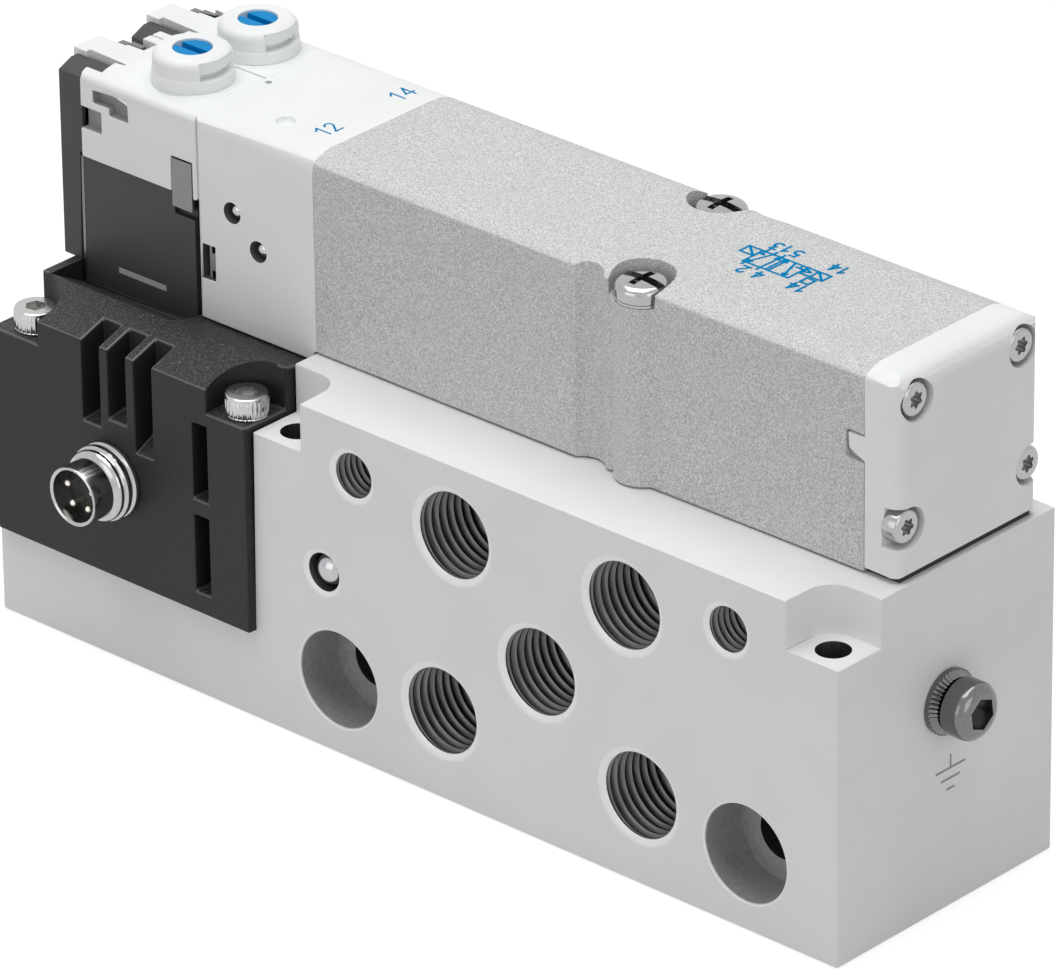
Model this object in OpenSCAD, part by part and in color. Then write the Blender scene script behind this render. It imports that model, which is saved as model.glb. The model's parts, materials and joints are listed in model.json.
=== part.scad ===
// Five-port solenoid valve with two pilot solenoids, on a single sub-base
// with threaded ports and an electrical plug housing.
// X runs along the valve, from the plug end to the end cap.
// The ports open towards -Y, and Z is zero under the block.

/* [Sub-base] */
// Length of the block
block_l = 142; // [140:1:156]
// Width of the block, from port face to rear face
block_w = 40; // [39:0.5:48]
// Height of the block
block_h = 47; // [46:0.5:54]
// Length of the bay that takes the plug housing
bay_l = 45.8; // [45.4:0.2:48]
// Height of the bay's floor above the underside
bay_floor_h = 12.5; // [11:0.5:15]
// Depth of the two screw shelves below the top
shelf_drop = 6.6; // [5:0.2:8]
// Length of a screw shelf along X
shelf_l = 8.2; // [7.6:0.2:9]
// Width of a screw shelf along Y
shelf_w = 7.8; // [7.2:0.2:8.6]
// Corner radius of a screw shelf
shelf_r = 3.6; // [2:0.2:4]
// Bore of the upright fixing holes
fix_hole_d = 4.5; // [4:0.1:5.2]

/* [Ports] */
// Place of port 1 along X, from the middle of the block
port_x = 22.5; // [21.5:0.5:23.5]
// Core bore of the five main ports
port_d = 11.5; // [10.5:0.1:12.4]
// Width of the countersink at a main port's mouth
port_mouth_d = 13.3; // [12.6:0.1:13.8]
// Threaded depth of a main port
port_depth = 15; // [12:0.5:17]
// Height of port 1
port_z = 23.2; // [22.5:0.1:24]
// Spacing of ports 4 and 2 from port 1 along X
upper_dx = 14; // [13.5:0.1:15]
// Spacing of ports 4 and 2 above port 1
upper_dz = 14; // [13:0.1:14.4]
// Spacing of ports 5 and 3 from port 1 along X
lower_dx = 16.5; // [16:0.1:17]
// Spacing of ports 5 and 3 below port 1
lower_dz = 11.2; // [10.5:0.1:12]
// Core bore of the two pilot ports
pilot_port_d = 6; // [5:0.1:6.6]
// Width of the countersink at a pilot port's mouth
pilot_mouth_d = 7.5; // [7:0.1:8.4]
// Depth of a pilot port
pilot_port_depth = 11; // [9:0.5:12]
// Spacing of the pilot ports from port 1 along X
pilot_dx = 30.8; // [29.5:0.1:32]
// Height of the pilot ports
pilot_port_z = 39.8; // [39:0.1:41]
// Spacing of the cross bores from port 1 along X
cross_dx = 33.8; // [33:0.1:34.4]
// Height of the cross bores
cross_z = 10.4; // [9.5:0.1:11.5]
// Bore of the cross holes
cross_d = 7; // [6:0.1:8]
// Counterbore of the cross holes
cross_head_d = 13.1; // [12:0.1:13.6]
// Depth of the cross holes' counterbore
cross_head_depth = 6.8; // [5:0.1:9]
// Diameter of the ball that plugs the pilot gallery
gallery_ball_d = 5; // [3.6:0.1:5.4]
// Spacing of the gallery ball from port 1 along X
gallery_ball_dx = 36.2; // [35:0.1:37]
// Height of the gallery ball
gallery_ball_z = 24.6; // [23:0.1:26]
// Bore of the passages that rise to the valve
passage_d = 6; // [4.5:0.1:6.4]
// Pitch of the five passages under the valve
passage_pitch = 9.2; // [8.8:0.1:9.6]

/* [Valve] */
// Width of the valve
valve_w = 26; // [25.4:0.2:27]
// Distance of the valve's middle plane behind the block's
valve_y = 4.4; // [4:0.1:5]
// Length of the die-cast body
body_l = 90; // [88:0.5:94]
// Height of the body's straight side
side_h = 25.8; // [25:0.1:28]
// Rise of the crowned top above the side
crown_h = 1.2; // [0.8:0.1:2]
// Width of each rounded shoulder
crown_run = 4; // [2.5:0.1:5]
// Gap between the block and the body's rim
body_lift = 0.3; // [0.2:0.05:0.5]
// Thickness of the port gasket
gasket_t = 0.8; // [0.6:0.05:1.2]
// Thickness of the end cap
cap_t = 5.6; // [5:0.1:7]
// Distance of the end cap's face inside the block's end
end_inset = 0.3; // [0:0.1:1]
// Radius along the cap's outer top edge
cap_top_r = 2.8; // [1.5:0.1:3.4]
// Radius along the cap's upright edges
cap_side_r = 2; // [1:0.1:2.6]

/* [Valve screws] */
// Distance of the screws' mid point from the middle of the block
screw_mid_x = 24.65; // [24:0.05:26]
// Half spacing of the screws along X
screw_dx = 3.45; // [3.2:0.05:3.8]
// Half spacing of the screws along Y
screw_dy = 11; // [10.8:0.1:11.3]
// Shank of a valve screw
screw_d = 4; // [3:0.1:4.4]
// Head diameter of a valve screw
screw_head_d = 7; // [6.6:0.1:7.6]
// Head height of a valve screw
screw_head_h = 2.7; // [2.2:0.1:3]
// Width of the pocket round a valve screw's head
screw_pocket_d = 8.4; // [7.8:0.1:8.8]
// Depth of the pocket below the crowned top
screw_pocket_h = 3.2; // [2.8:0.1:4]
// Radius of the boss under each pocket
boss_r = 3.7; // [3.2:0.1:4]
// Radius of the relief beside each boss
relief_r = 3; // [2.4:0.1:3.2]
// Depth of the relief
relief_depth = 1.35; // [0.8:0.05:1.6]

/* [Spool] */
// Bore for the spool
spool_bore_d = 11; // [10:0.1:11.6]
// Bore of the piston chambers
piston_bore_d = 16; // [14:0.1:17]
// Length of a piston chamber
chamber_l = 8.4; // [8:0.1:9.5]
// Thickness of a piston
piston_t = 3.5; // [2.8:0.1:3.6]
// Travel of the spool
spool_travel = 3.6; // [2.6:0.1:3.8]
// Waist of the spool between its lands
spool_waist_d = 5.5; // [4:0.1:7]
// Width of a land
land_w = 3.6; // [3:0.1:4]
// Width of a seal ring
seal_w = 1.8; // [1.2:0.1:2]

/* [Pilot section] */
// Length of the pilot block
pilot_l = 20.3; // [20:0.1:21]
// How far the pilot block reaches below the valve body, over the plug housing
pilot_skirt = 1.3; // [0.6:0.1:2]
// Length of the solenoid heads along X
head_l = 20.2; // [20:0.1:20.8]
// Height of the solenoid heads
head_h = 12.4; // [12:0.1:13]
// Depth of a coil below its head
coil_h = 17.6; // [17:0.1:18]
// Thickness of the coil's yoke plate
yoke_t = 0.5; // [0.4:0.05:0.7]
// Distance of the overrides from the pilot block
override_dx = 7; // [6.6:0.1:7.4]
// Distance of each override from the valve's middle plane
override_dy = 5.9; // [5.8:0.05:6.2]
// Diameter of an override turret
turret_d = 10.3; // [9.6:0.1:11]
// Height of an override turret
turret_h = 4.3; // [3.8:0.1:5]
// Diameter of an override button
button_d = 5; // [4.4:0.1:5.6]
// Travel of an override button
button_travel = 1; // [0.6:0.1:1.2]
// Diameter of an armature
armature_d = 5.8; // [5:0.1:6]
// Travel of an armature
armature_travel = 0.5; // [0.3:0.05:0.6]

/* [Plug housing] */
// Distance of the housing's left side inside the block's end
plug_inset = 1; // [0.6:0.1:2]
// Distance that the housing stands proud of the port face
plug_proud = 1.3; // [0.6:0.1:2]
// Fall of the housing's sloping front top
ramp_drop = 2.6; // [1.5:0.1:3.2]
// Depth of the sloping front top along Y
ramp_run = 7.4; // [6.6:0.1:8]
// Depth of the screw ledges below the housing's top
ledge_drop = 5.8; // [5:0.1:7]
// Radius of the scallop round a housing screw
ledge_r = 5.5; // [5.2:0.1:6]
// Distance of the right housing screw from the block
plug_screw_inset = 2.9; // [2.8:0.1:3.3]
// Pitch of the two housing screws
plug_screw_pitch = 37.1; // [35.5:0.1:37.5]
// Distance of the housing screws from the port face
plug_screw_depth = 2.3; // [1.8:0.1:2.6]
// Shank of a housing screw
plug_screw_d = 3; // [2.5:0.1:3.4]
// Width of each cooling groove
groove_w = 3.1; // [2.4:0.1:3.4]
// Pitch of the cooling grooves
groove_pitch = 4.6; // [4.4:0.1:5]
// Depth of the cooling grooves
groove_depth = 4.2; // [3:0.1:5]
// Width of the two long slots
slot_w = 2.5; // [2:0.1:3]
// Depth of the two long slots
slot_depth = 3; // [1:0.1:4]

/* [Connector] */
// Distance of the connector from the housing's left side
con_dx = 20.9; // [20.4:0.1:21.4]
// Height of the connector's axis
con_z = 26.5; // [25:0.1:27]
// Outer diameter of the connector's tube
con_d = 8; // [7.4:0.1:8.6]
// Wall of the connector's tube
con_wall = 0.5; // [0.4:0.05:0.8]
// Length of the connector in front of the housing
con_l = 7.1; // [6:0.1:9]
// Length of the ridged collar in front of the housing
collar_l = 3.6; // [3:0.1:4.4]
// Diameter of the ridged collar
collar_d = 10.3; // [9.9:0.1:11.4]
// Diameter of a contact pin
pin_d = 1; // [0.8:0.05:1.1]
// Distance of the pin tips behind the tube's mouth
pin_recess = 1.1; // [0.5:0.1:2]

/* [Earth screw] */
// Height of the earth screw
earth_z = 28.6; // [26:0.1:31]
// Shank of the earth screw
earth_d = 5; // [4:0.1:6]
// Head diameter of the earth screw
earth_head_d = 7.6; // [7.2:0.1:9]
// Head height of the earth screw
earth_head_h = 4.5; // [4:0.1:5.6]
// Thickness of the toothed washer
earth_washer_t = 1.1; // [0.8:0.1:1.5]

/* [Hidden] */

$fn = 48;
// Play between a screw and its hole, and a fixed part and its pocket
play = 0.1;
// Play of a sliding part in its bore
run_play = 0.05;
// Cutters run past the faces that they open by this much
over = 1;

x_right = block_l / 2;
x_left = -block_l / 2;
y_port = -block_w / 2;
y_back = block_w / 2;
bay_x = x_left + bay_l;
shelf_z = block_h - shelf_drop;

cap_x1 = x_right - end_inset;
body_x1 = cap_x1 - cap_t;
body_x0 = body_x1 - body_l;
pilot_x0 = body_x0 - pilot_l;
head_x0 = pilot_x0 - head_l;
side_y = valve_y - valve_w / 2;
body_z = block_h + body_lift;
gasket_z = block_h + gasket_t;
side_z = body_z + side_h;
top_z = side_z + crown_h;
bore_z = (body_z + top_z) / 2;
seat_z = top_z - screw_pocket_h;
head_z = top_z - head_h;
coil_z = head_z - coil_h;

// Screws of the end cap, from the valve's middle plane and from the body's rim
cap_screw_upper = [9.65, 23.3];
cap_screw_lower = [11.1, 7];
cap_screw_d = 2.5;
cap_head_d = 4.5;
cap_head_recess = 2.6;
tab_z = 14.6;
tab_l = 2.6;
tab_h = 3.3;
tab_t = 1;

plug_x0 = x_left + plug_inset;
con_x = plug_x0 + con_dx;
plug_x1 = bay_x - 0.2;
plug_y0 = y_port - plug_proud;
plug_y1 = y_back - 0.5;
plug_top = block_h;
crest_y = plug_y0 + ramp_run;
ledge_z = plug_top - ledge_drop;
plug_screw_y = y_port + plug_screw_depth;
plug_screw_x = [plug_x1 - plug_screw_inset - plug_screw_pitch, plug_x1 - plug_screw_inset];
well_z = coil_z - yoke_t - 0.3;
skirt_z = body_z - pilot_skirt;
low_top = skirt_z - 0.3;
side_step = 2;
groove_x = [for (i = [-1:1]) con_x + 1.4 + i * groove_pitch];
groove_floor = [33.2, 34.8, 31.4];
groove_rise = [0.4, 0.6, 2];
slot_x = plug_x1 - 7.9;
slot_low = [15.5, 26.3];
slot_high = [28.6, 39.2];

con_y = plug_y0 - con_l;
con_bore_d = con_d + 1.2;
con_tail = 6;
insert_recess = 3.2;
pins = [[-2.17, 0.75], [2.17, 0.75], [-1.37, -1.8], [1.37, -1.8]];

coil_x0 = head_x0 - 0.3;
coil_x1 = pilot_x0 - 0.9;
half_w = valve_w / 2 - play / 2;
pair_pitch = valve_w / 2;
axis_x = pilot_x0 - override_dx;
bore_d = armature_d + 2 * run_play;
core_h = 6.6;
armature_z = coil_z + core_h + armature_travel;
armature_top = head_z - play;
armature_hole_d = 3.9;
armature_hole_h = 4.2;
button_flange_d = button_d + 1.2;
button_flange_h = 1;
button_flange_z = top_z - 0.3 - button_flange_h;
button_top = top_z + turret_h - 0.25;
spring_floor = button_flange_z - 4.6;
push_pin_d = 2.4;
push_pin_z = armature_top + button_travel + 0.15;
plug_piece_w = 3.6;
tongue_l = 2.6;
tongue_t = 1.6;
tongue_inset = 1.2;

// Channels that lead from the pilot ports to the ends of the valve
pilot_bore_d = 3;
pilot_y = valve_y - 5.5;
pilot_z = body_z + 4;

// Spool stations
port_stations = [for (i = [-2:2]) port_x + i * passage_pitch];
chamber_groove_l = 4;
outer_land = 2 * passage_pitch + chamber_groove_l / 2 + seal_w / 2 + 0.3;
// At rest port 1 feeds 2 and 4 vents to 5; after the travel 1 feeds 4 and 2 vents to 3
land_stations = [port_x - outer_land - spool_travel, port_x - 1.5 * passage_pitch - spool_travel,
  port_x - 0.5 * passage_pitch, port_x + 0.5 * passage_pitch - spool_travel,
  port_x + 1.5 * passage_pitch, port_x + outer_land];
end_play = 0.4;
spool_x0 = body_x0 + end_play + piston_t;
spool_x1 = body_x1 - end_play - spool_travel - piston_t;
land_d = spool_bore_d - 0.8;
seal_d = spool_bore_d - 2 * run_play;
seal_bore_d = spool_bore_d - 2.8;
piston_d = piston_bore_d - 0.8;

// Outline helpers
function arc(cx, cy, r, a0, a1, n) =
  [for (i = [0:n]) let (a = a0 + (a1 - a0) * i / max(n, 1)) [cx + r * cos(a), cy + r * sin(a)]];

function crown_r() = (crown_run * crown_run + crown_h * crown_h) / (2 * crown_h);

function crown_start() = asin((crown_r() - crown_h) / crown_r());

// Section of the valve across X, from the height z up
function crown_points(z) = concat(
  [[valve_y - valve_w / 2, z], [valve_y + valve_w / 2, z]],
  arc(valve_y + valve_w / 2 - crown_run, top_z - crown_r(), crown_r(), crown_start(), 90, 6),
  arc(valve_y - valve_w / 2 + crown_run, top_z - crown_r(), crown_r(), 90, 180 - crown_start(), 6));

// Rectangle from a corner to a corner, each corner with its own radius
function rounded(x0, y0, x1, y1, r) = concat(
  arc(x0 + r[0], y0 + r[0], r[0], 180, 270, r[0] > 0 ? 6 : 0),
  arc(x1 - r[1], y0 + r[1], r[1], 270, 360, r[1] > 0 ? 6 : 0),
  arc(x1 - r[2], y1 - r[2], r[2], 0, 90, r[2] > 0 ? 6 : 0),
  arc(x0 + r[3], y1 - r[3], r[3], 90, 180, r[3] > 0 ? 6 : 0));

module box(x0, x1, y0, y1, z0, z1) {
  translate([x0, y0, z0]) cube([x1 - x0, y1 - y0, z1 - z0]);
}

module along_x(x0, x1) {
  translate([x0, 0, 0]) rotate([90, 0, 90]) linear_extrude(x1 - x0) children();
}

module along_y(y0, y1) {
  translate([0, y1, 0]) rotate([90, 0, 0]) linear_extrude(y1 - y0) children();
}

module along_z(z0, z1) {
  translate([0, 0, z0]) linear_extrude(z1 - z0) children();
}

// Cylinders along each axis, from one end to the other
module rod_x(x0, x1, y, z, d) {
  translate([x0, y, z]) rotate([0, 90, 0]) cylinder(d = d, h = x1 - x0);
}

module rod_y(y0, y1, x, z, d) {
  translate([x, y0, z]) rotate([-90, 0, 0]) cylinder(d = d, h = y1 - y0);
}

module rod_z(z0, z1, x, y, d) {
  translate([x, y, z0]) cylinder(d = d, h = z1 - z0);
}

// Countersink that opens towards -Y
module mouth_y(x, z, d_out, d_in) {
  depth = (d_out - d_in) / 2 * tan(30);
  translate([x, y_port - 0.01, z])
    rotate([-90, 0, 0])
      cylinder(d1 = d_out + 0.02, d2 = d_in, h = depth + 0.01);
}

// Wire wound into an open coil, from the height zero up
module coil_spring(mean_r, wire, turns, h) {
  steps = 14 * turns;
  sides = 6;
  rise = h - wire;
  ring = [for (i = [0:steps]) let (a = 360 * turns * i / steps)
    for (j = [0:sides - 1]) let (b = 360 * j / sides, r = mean_r + wire / 2 * cos(b))
      [r * cos(a), r * sin(a), wire / 2 + rise * i / steps + wire / 2 * sin(b)]];
  skin = [for (i = [0:steps - 1]) for (j = [0:sides - 1])
    let (k = (j + 1) % sides)
      [i * sides + j, i * sides + k, (i + 1) * sides + k, (i + 1) * sides + j]];
  first = [[for (j = [sides - 1:-1:0]) j]];
  last = [[for (j = [0:sides - 1]) steps * sides + j]];
  polyhedron(points = ring, faces = concat(skin, first, last), convexity = 6);
}

// Sub-base

// The two screw positions on the front, each with its shelf
fix_x = [bay_x + shelf_l / 2, x_right - shelf_l / 2];
fix_y = y_port + shelf_w / 2;

module shelf_cut() {
  // The left shelf opens into the bay, the right one at the block's end
  along_z(shelf_z, block_h + over)
    polygon(rounded(bay_x - over, y_port - over, bay_x + shelf_l, y_port + shelf_w,
      [0, 0, shelf_r, 0]));
  along_z(shelf_z, block_h + over)
    polygon(rounded(x_right - shelf_l, y_port - over, x_right + over, y_port + shelf_w,
      [0, 0, 0, shelf_r]));
}

module main_port(x, z, depth_end) {
  rod_y(y_port - over, y_port + port_depth, x, z, port_d);
  rod_y(y_port - over, depth_end, x, z, port_d - 2.6);
  mouth_y(x, z, port_mouth_d, port_d);
}

module top_slot(x) {
  // Slots are longer than wide, so that staggered passages meet them
  along_z(block_h - 3, block_h + over)
    polygon(rounded(x - passage_d / 2, valve_y - 7.2, x + passage_d / 2, valve_y + 7.2,
      [2.4, 2.4, 2.4, 2.4]));
}

module port_passages() {
  near_y = valve_y - 2.6;
  far_y = valve_y + 4;
  main_port(port_x, port_z, near_y + 2);
  rod_z(port_z, block_h, port_x, near_y, passage_d);
  for (s = [-1, 1]) {
    main_port(port_x + s * upper_dx, port_z + upper_dz, near_y + 2);
    rod_z(port_z + upper_dz, block_h, port_x + s * passage_pitch, near_y, passage_d);
    main_port(port_x + s * lower_dx, port_z - lower_dz, far_y + 2);
    rod_z(port_z - lower_dz, block_h, port_x + s * 2 * passage_pitch, far_y, passage_d);
  }
  for (x = port_stations) top_slot(x);
}

module sub_base() {
  color("#c4c7c6") difference() {
    box(x_left, x_right, y_port, y_back, 0, block_h);
    box(x_left - over, bay_x, y_port - over, y_back + over, bay_floor_h, block_h + over);
    shelf_cut();
    for (x = fix_x) rod_z(-over, shelf_z + over, x, fix_y, fix_hole_d);
    port_passages();
    for (s = [-1, 1]) {
      rod_y(y_port - over, y_port + pilot_port_depth, port_x + s * pilot_dx, pilot_port_z,
        pilot_port_d);
      mouth_y(port_x + s * pilot_dx, pilot_port_z, pilot_mouth_d, pilot_port_d);
      rod_z(pilot_port_z, block_h + over, port_x + s * pilot_dx, pilot_y, pilot_bore_d);
      rod_y(y_port + pilot_port_depth - over, pilot_y, port_x + s * pilot_dx, pilot_port_z,
        pilot_bore_d);
      rod_y(y_port - over, y_back + over, port_x + s * cross_dx, cross_z, cross_d);
      rod_y(y_port - over, y_port + cross_head_depth, port_x + s * cross_dx, cross_z,
        cross_head_d);
      rod_z(block_h - 9.5, block_h + over, screw_mid_x - s * screw_dx,
        valve_y + s * screw_dy, screw_d + 2 * play);
    }
    rod_y(y_port - over, y_port + gallery_ball_d + 0.4, port_x - gallery_ball_dx,
      gallery_ball_z, gallery_ball_d + 2 * play);
    mouth_y(port_x - gallery_ball_dx, gallery_ball_z, gallery_ball_d + 1.5,
      gallery_ball_d + 2 * play);
    for (x = plug_screw_x)
      rod_z(bay_floor_h - 8.5, bay_floor_h + over, x, plug_screw_y, plug_screw_d + 2 * play);
    rod_x(x_right - 11, x_right + over, 0, earth_z, earth_d + 2 * play);
  }
}

module gallery_ball() {
  color("#d8d8d8")
    translate([port_x - gallery_ball_dx, y_port + gallery_ball_d / 2 + 0.2, gallery_ball_z])
      sphere(d = gallery_ball_d);
}

module earth_washer() {
  color("#bdbdbd") difference() {
    rod_x(x_right, x_right + earth_washer_t, 0, earth_z, earth_head_d + 1);
    rod_x(x_right - over, x_right + earth_washer_t + over, 0, earth_z, earth_d + 2 * play);
  }
}

module earth_screw() {
  seat = x_right + earth_washer_t;
  edge = 1.2;
  color("#8d9191") difference() {
    union() {
      rod_x(x_right - 10, seat + over, 0, earth_z, earth_d);
      rod_x(seat, seat + earth_head_h - edge, 0, earth_z, earth_head_d);
      translate([seat + earth_head_h - edge, 0, earth_z]) rotate([0, 90, 0])
        cylinder(d1 = earth_head_d, d2 = earth_head_d - 2 * edge, h = edge);
    }
    translate([seat + earth_head_h - 2.5, 0, earth_z]) rotate([0, 90, 0])
      cylinder(d = 4 / cos(30), h = 2.5 + over, $fn = 6);
  }
}

// Plug housing

// Scalloped pocket round a screw, open to the front and to the side s
module screw_pocket(x, s) {
  cx = x + s * 1.5;
  cy = plug_screw_y - 1.6;
  outer_x = x + s * 10;
  rod_z(ledge_z, plug_top + over, cx, cy, 2 * ledge_r);
  box(min(cx, outer_x), max(cx, outer_x), plug_y0 - over, cy + ledge_r, ledge_z,
    plug_top + over);
}

module plug_housing() {
  coil_edge_x = coil_x0 - yoke_t - 0.3;
  foot_y = side_y + 0.2;
  color("#2b2b2b") difference() {
    union() {
      along_x(plug_x0, plug_x1)
        polygon([[plug_y0, bay_floor_h], [plug_y1, bay_floor_h], [plug_y1, low_top],
          [side_y - 0.3, low_top], [crest_y, plug_top], [plug_y0, plug_top - ramp_drop]]);
      box(plug_x0, coil_edge_x, crest_y, plug_y1, low_top - over, plug_top);
    }
    // The upper part is narrower on the left
    box(plug_x0 - over, plug_x0 + side_step, plug_y0 - over, plug_y1 + over, ledge_z,
      plug_top + over);
    // Slope down to the foot of the coils
    along_x(coil_edge_x, coil_x1 + 0.3)
      polygon([[crest_y, plug_top], [foot_y + 0.01, coil_z - 0.3], [foot_y + 0.01, plug_top + over],
        [crest_y, plug_top + over]]);
    screw_pocket(plug_screw_x[0], -1);
    screw_pocket(plug_screw_x[1], 1);
    for (x = plug_screw_x)
      rod_z(bay_floor_h - over, ledge_z + over, x, plug_screw_y, plug_screw_d + 2 * play);
    // Well under the two coils
    box(coil_edge_x, coil_x1 + 0.3, foot_y, valve_y + valve_w / 2 + 0.3, well_z,
      plug_top + over);
    // Cooling grooves with rising floors
    for (i = [0:2]) along_x(groove_x[i] - groove_w / 2, groove_x[i] + groove_w / 2)
      polygon([[plug_y0 - over, groove_floor[i]], [plug_y0, groove_floor[i]],
        [plug_y0 + groove_depth, groove_floor[i] + groove_rise[i]],
        [plug_y0 + groove_depth, plug_top + over], [plug_y0 - over, plug_top + over]]);
    for (z = [slot_low, slot_high])
      box(slot_x - slot_w / 2, slot_x + slot_w / 2, plug_y0 - over, plug_y0 + slot_depth,
        z[0], z[1]);
    rod_y(plug_y0 - over, plug_y0 + con_tail + 0.3, con_x, con_z, con_bore_d + 2 * play);
  }
}

module housing_screws() {
  head_d = 5.5;
  head_h = 3;
  color("#cfcfcf") for (x = plug_screw_x) difference() {
    union() {
      rod_z(bay_floor_h - 8, ledge_z + over, x, plug_screw_y, plug_screw_d);
      rod_z(ledge_z, ledge_z + head_h, x, plug_screw_y, head_d);
    }
    translate([x, plug_screw_y, ledge_z + head_h - 1.5])
      cylinder(d = 2.5 / cos(30), h = 1.5 + over, $fn = 6);
  }
}

// Half section of the shell as radius and distance from the housing's face
module connector_shell() {
  ridge = collar_l / 4;
  r_tube = con_d / 2;
  r_in = r_tube - con_wall;
  r_ridge = collar_d / 2;
  r_valley = r_ridge - 0.5;
  color("#c9ccce")
    translate([con_x, plug_y0, con_z]) rotate([90, 0, 0]) rotate_extrude()
      polygon([[r_in, -con_tail], [con_bore_d / 2, -con_tail], [con_bore_d / 2, 0],
        [r_ridge, 0], [r_ridge, ridge], [r_valley, 1.3 * ridge],
        [r_ridge, 1.7 * ridge], [r_ridge, 2.3 * ridge], [r_valley, 2.6 * ridge],
        [r_ridge - 0.3, 2.9 * ridge], [r_ridge - 0.3, 3.4 * ridge], [r_tube + 0.2, collar_l],
        [r_tube, collar_l], [r_tube, con_l - 0.2], [r_tube - 0.2, con_l], [r_in, con_l]]);
}

module connector_insert() {
  color("#1c1c1c") difference() {
    rod_y(con_y + insert_recess, plug_y0 + con_tail, con_x, con_z,
      con_d - 2 * con_wall - 2 * run_play);
    for (p = pins)
      rod_y(con_y, plug_y0 + con_tail + over, con_x + p[0], con_z + p[1],
        pin_d + 2 * run_play);
  }
}

module contact_pins() {
  tip = 0.25;
  color("#d9c98a") for (p = pins) translate([con_x + p[0], con_y + pin_recess, con_z + p[1]])
    rotate([-90, 0, 0]) union() {
      translate([0, 0, tip]) cylinder(d = pin_d, h = con_l + con_tail - pin_recess - tip);
      cylinder(d1 = pin_d - 2 * tip, d2 = pin_d, h = tip);
    }
}

// Valve body

module port_gasket() {
  x0 = body_x0 + 1.2;
  x_step = body_x1 - 6;
  x1 = cap_x1 - 0.8;
  slim = 8.2;
  wide = valve_w / 2 - 1;
  color("#202020") difference() {
    union() {
      box(x0, x_step + over, valve_y - slim, valve_y + slim, block_h, gasket_z);
      box(x_step, x1, valve_y - wide, valve_y + wide, block_h, gasket_z);
    }
    for (x = port_stations)
      box(x - passage_d / 2 + 0.5, x + passage_d / 2 - 0.5, valve_y - 6.6, valve_y + 6.6,
        block_h - over, gasket_z + over);
    for (s = [-1, 1])
      rod_z(block_h - over, gasket_z + over, port_x + s * pilot_dx, pilot_y,
        pilot_bore_d + 0.4);
  }
}

module side_features(s) {
  // s is -1 at the port side and +1 at the rear side
  boss_x = screw_mid_x - s * screw_dx;
  rod_z(body_z, seat_z, boss_x, valve_y + s * screw_dy, 2 * boss_r);
}

module side_cuts(s) {
  boss_x = screw_mid_x - s * screw_dx;
  relief_x = screw_mid_x + s * screw_dx;
  y_side = valve_y + s * valve_w / 2;
  rod_z(seat_z, top_z + over, boss_x, valve_y + s * screw_dy, screw_pocket_d);
  rod_z(body_z - over, seat_z + over, boss_x, valve_y + s * screw_dy, screw_d + 4 * play);
  rod_z(body_z - over, top_z + over, relief_x, y_side + s * (relief_r - relief_depth),
    2 * relief_r);
  // Pocket of the cap's snap tab
  box(body_x1 - tab_l - 0.25, body_x1 + over, min(y_side + s, y_side - s * (tab_t + 0.1)),
    max(y_side + s, y_side - s * (tab_t + 0.1)), body_z + tab_z - 0.25,
    body_z + tab_z + tab_h + 0.25);
}

module valve_body() {
  groove_d = spool_bore_d + 2.4;
  groove_l = chamber_groove_l;
  color("#c9cbcb") difference() {
    union() {
      along_x(body_x0, body_x1) polygon(crown_points(body_z));
      for (s = [-1, 1]) side_features(s);
    }
    for (s = [-1, 1]) side_cuts(s);
    // Recess for the gasket
    box(body_x0 + 1, body_x1 - 6, valve_y - 8.4, valve_y + 8.4, body_z - over, gasket_z);
    box(body_x1 - 6.2, body_x1 + over, valve_y - valve_w / 2 + 0.8,
      valve_y + valve_w / 2 - 0.8, body_z - over, gasket_z);
    rod_x(body_x0 - over, body_x1 + over, valve_y, bore_z, spool_bore_d);
    rod_x(body_x0 - over, body_x0 + chamber_l, valve_y, bore_z, piston_bore_d);
    rod_x(body_x1 - chamber_l, body_x1 + over, valve_y, bore_z, piston_bore_d);
    for (x = port_stations) {
      rod_x(x - groove_l / 2, x + groove_l / 2, valve_y, bore_z, groove_d);
      box(x - groove_l / 2, x + groove_l / 2, valve_y - 5.4, valve_y + 5.4,
        body_z - over, bore_z);
    }
    for (s = [-1, 1])
      rod_z(gasket_z - over, pilot_z, port_x + s * pilot_dx, pilot_y, pilot_bore_d);
    rod_x(body_x0 - over, port_x - pilot_dx, pilot_y, pilot_z, pilot_bore_d);
    rod_x(port_x + pilot_dx, body_x1 + over, pilot_y, pilot_z, pilot_bore_d);
    for (s = [-1, 1]) {
      rod_x(body_x1 - 8, body_x1 + over, valve_y + s * cap_screw_upper[0],
        body_z + cap_screw_upper[1], cap_screw_d + 2 * play);
      rod_x(body_x1 - 8, body_x1 + over, valve_y + s * cap_screw_lower[0],
        body_z + cap_screw_lower[1], cap_screw_d + 2 * play);
    }
  }
}

module valve_screws() {
  edge = 0.7;
  shank_z = block_h - 9;
  color("#9ea1a1") for (s = [-1, 1])
    translate([screw_mid_x - s * screw_dx, valve_y + s * screw_dy, 0]) difference() {
      union() {
        rod_z(shank_z, seat_z + over, 0, 0, screw_d);
        rod_z(seat_z, seat_z + screw_head_h - edge, 0, 0, screw_head_d);
        translate([0, 0, seat_z + screw_head_h - edge])
          cylinder(d1 = screw_head_d, d2 = screw_head_d - 2 * edge, h = edge);
      }
      box(-screw_head_d, screw_head_d, -0.65, 0.65, seat_z + screw_head_h - 1.2,
        seat_z + screw_head_h + over);
      box(-2.3, 2.3, -0.5, 0.5, seat_z + screw_head_h - 2, seat_z + screw_head_h + over);
      box(-0.55, 0.55, -2.3, 2.3, seat_z + screw_head_h - 2, seat_z + screw_head_h + over);
    }
}

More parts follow.
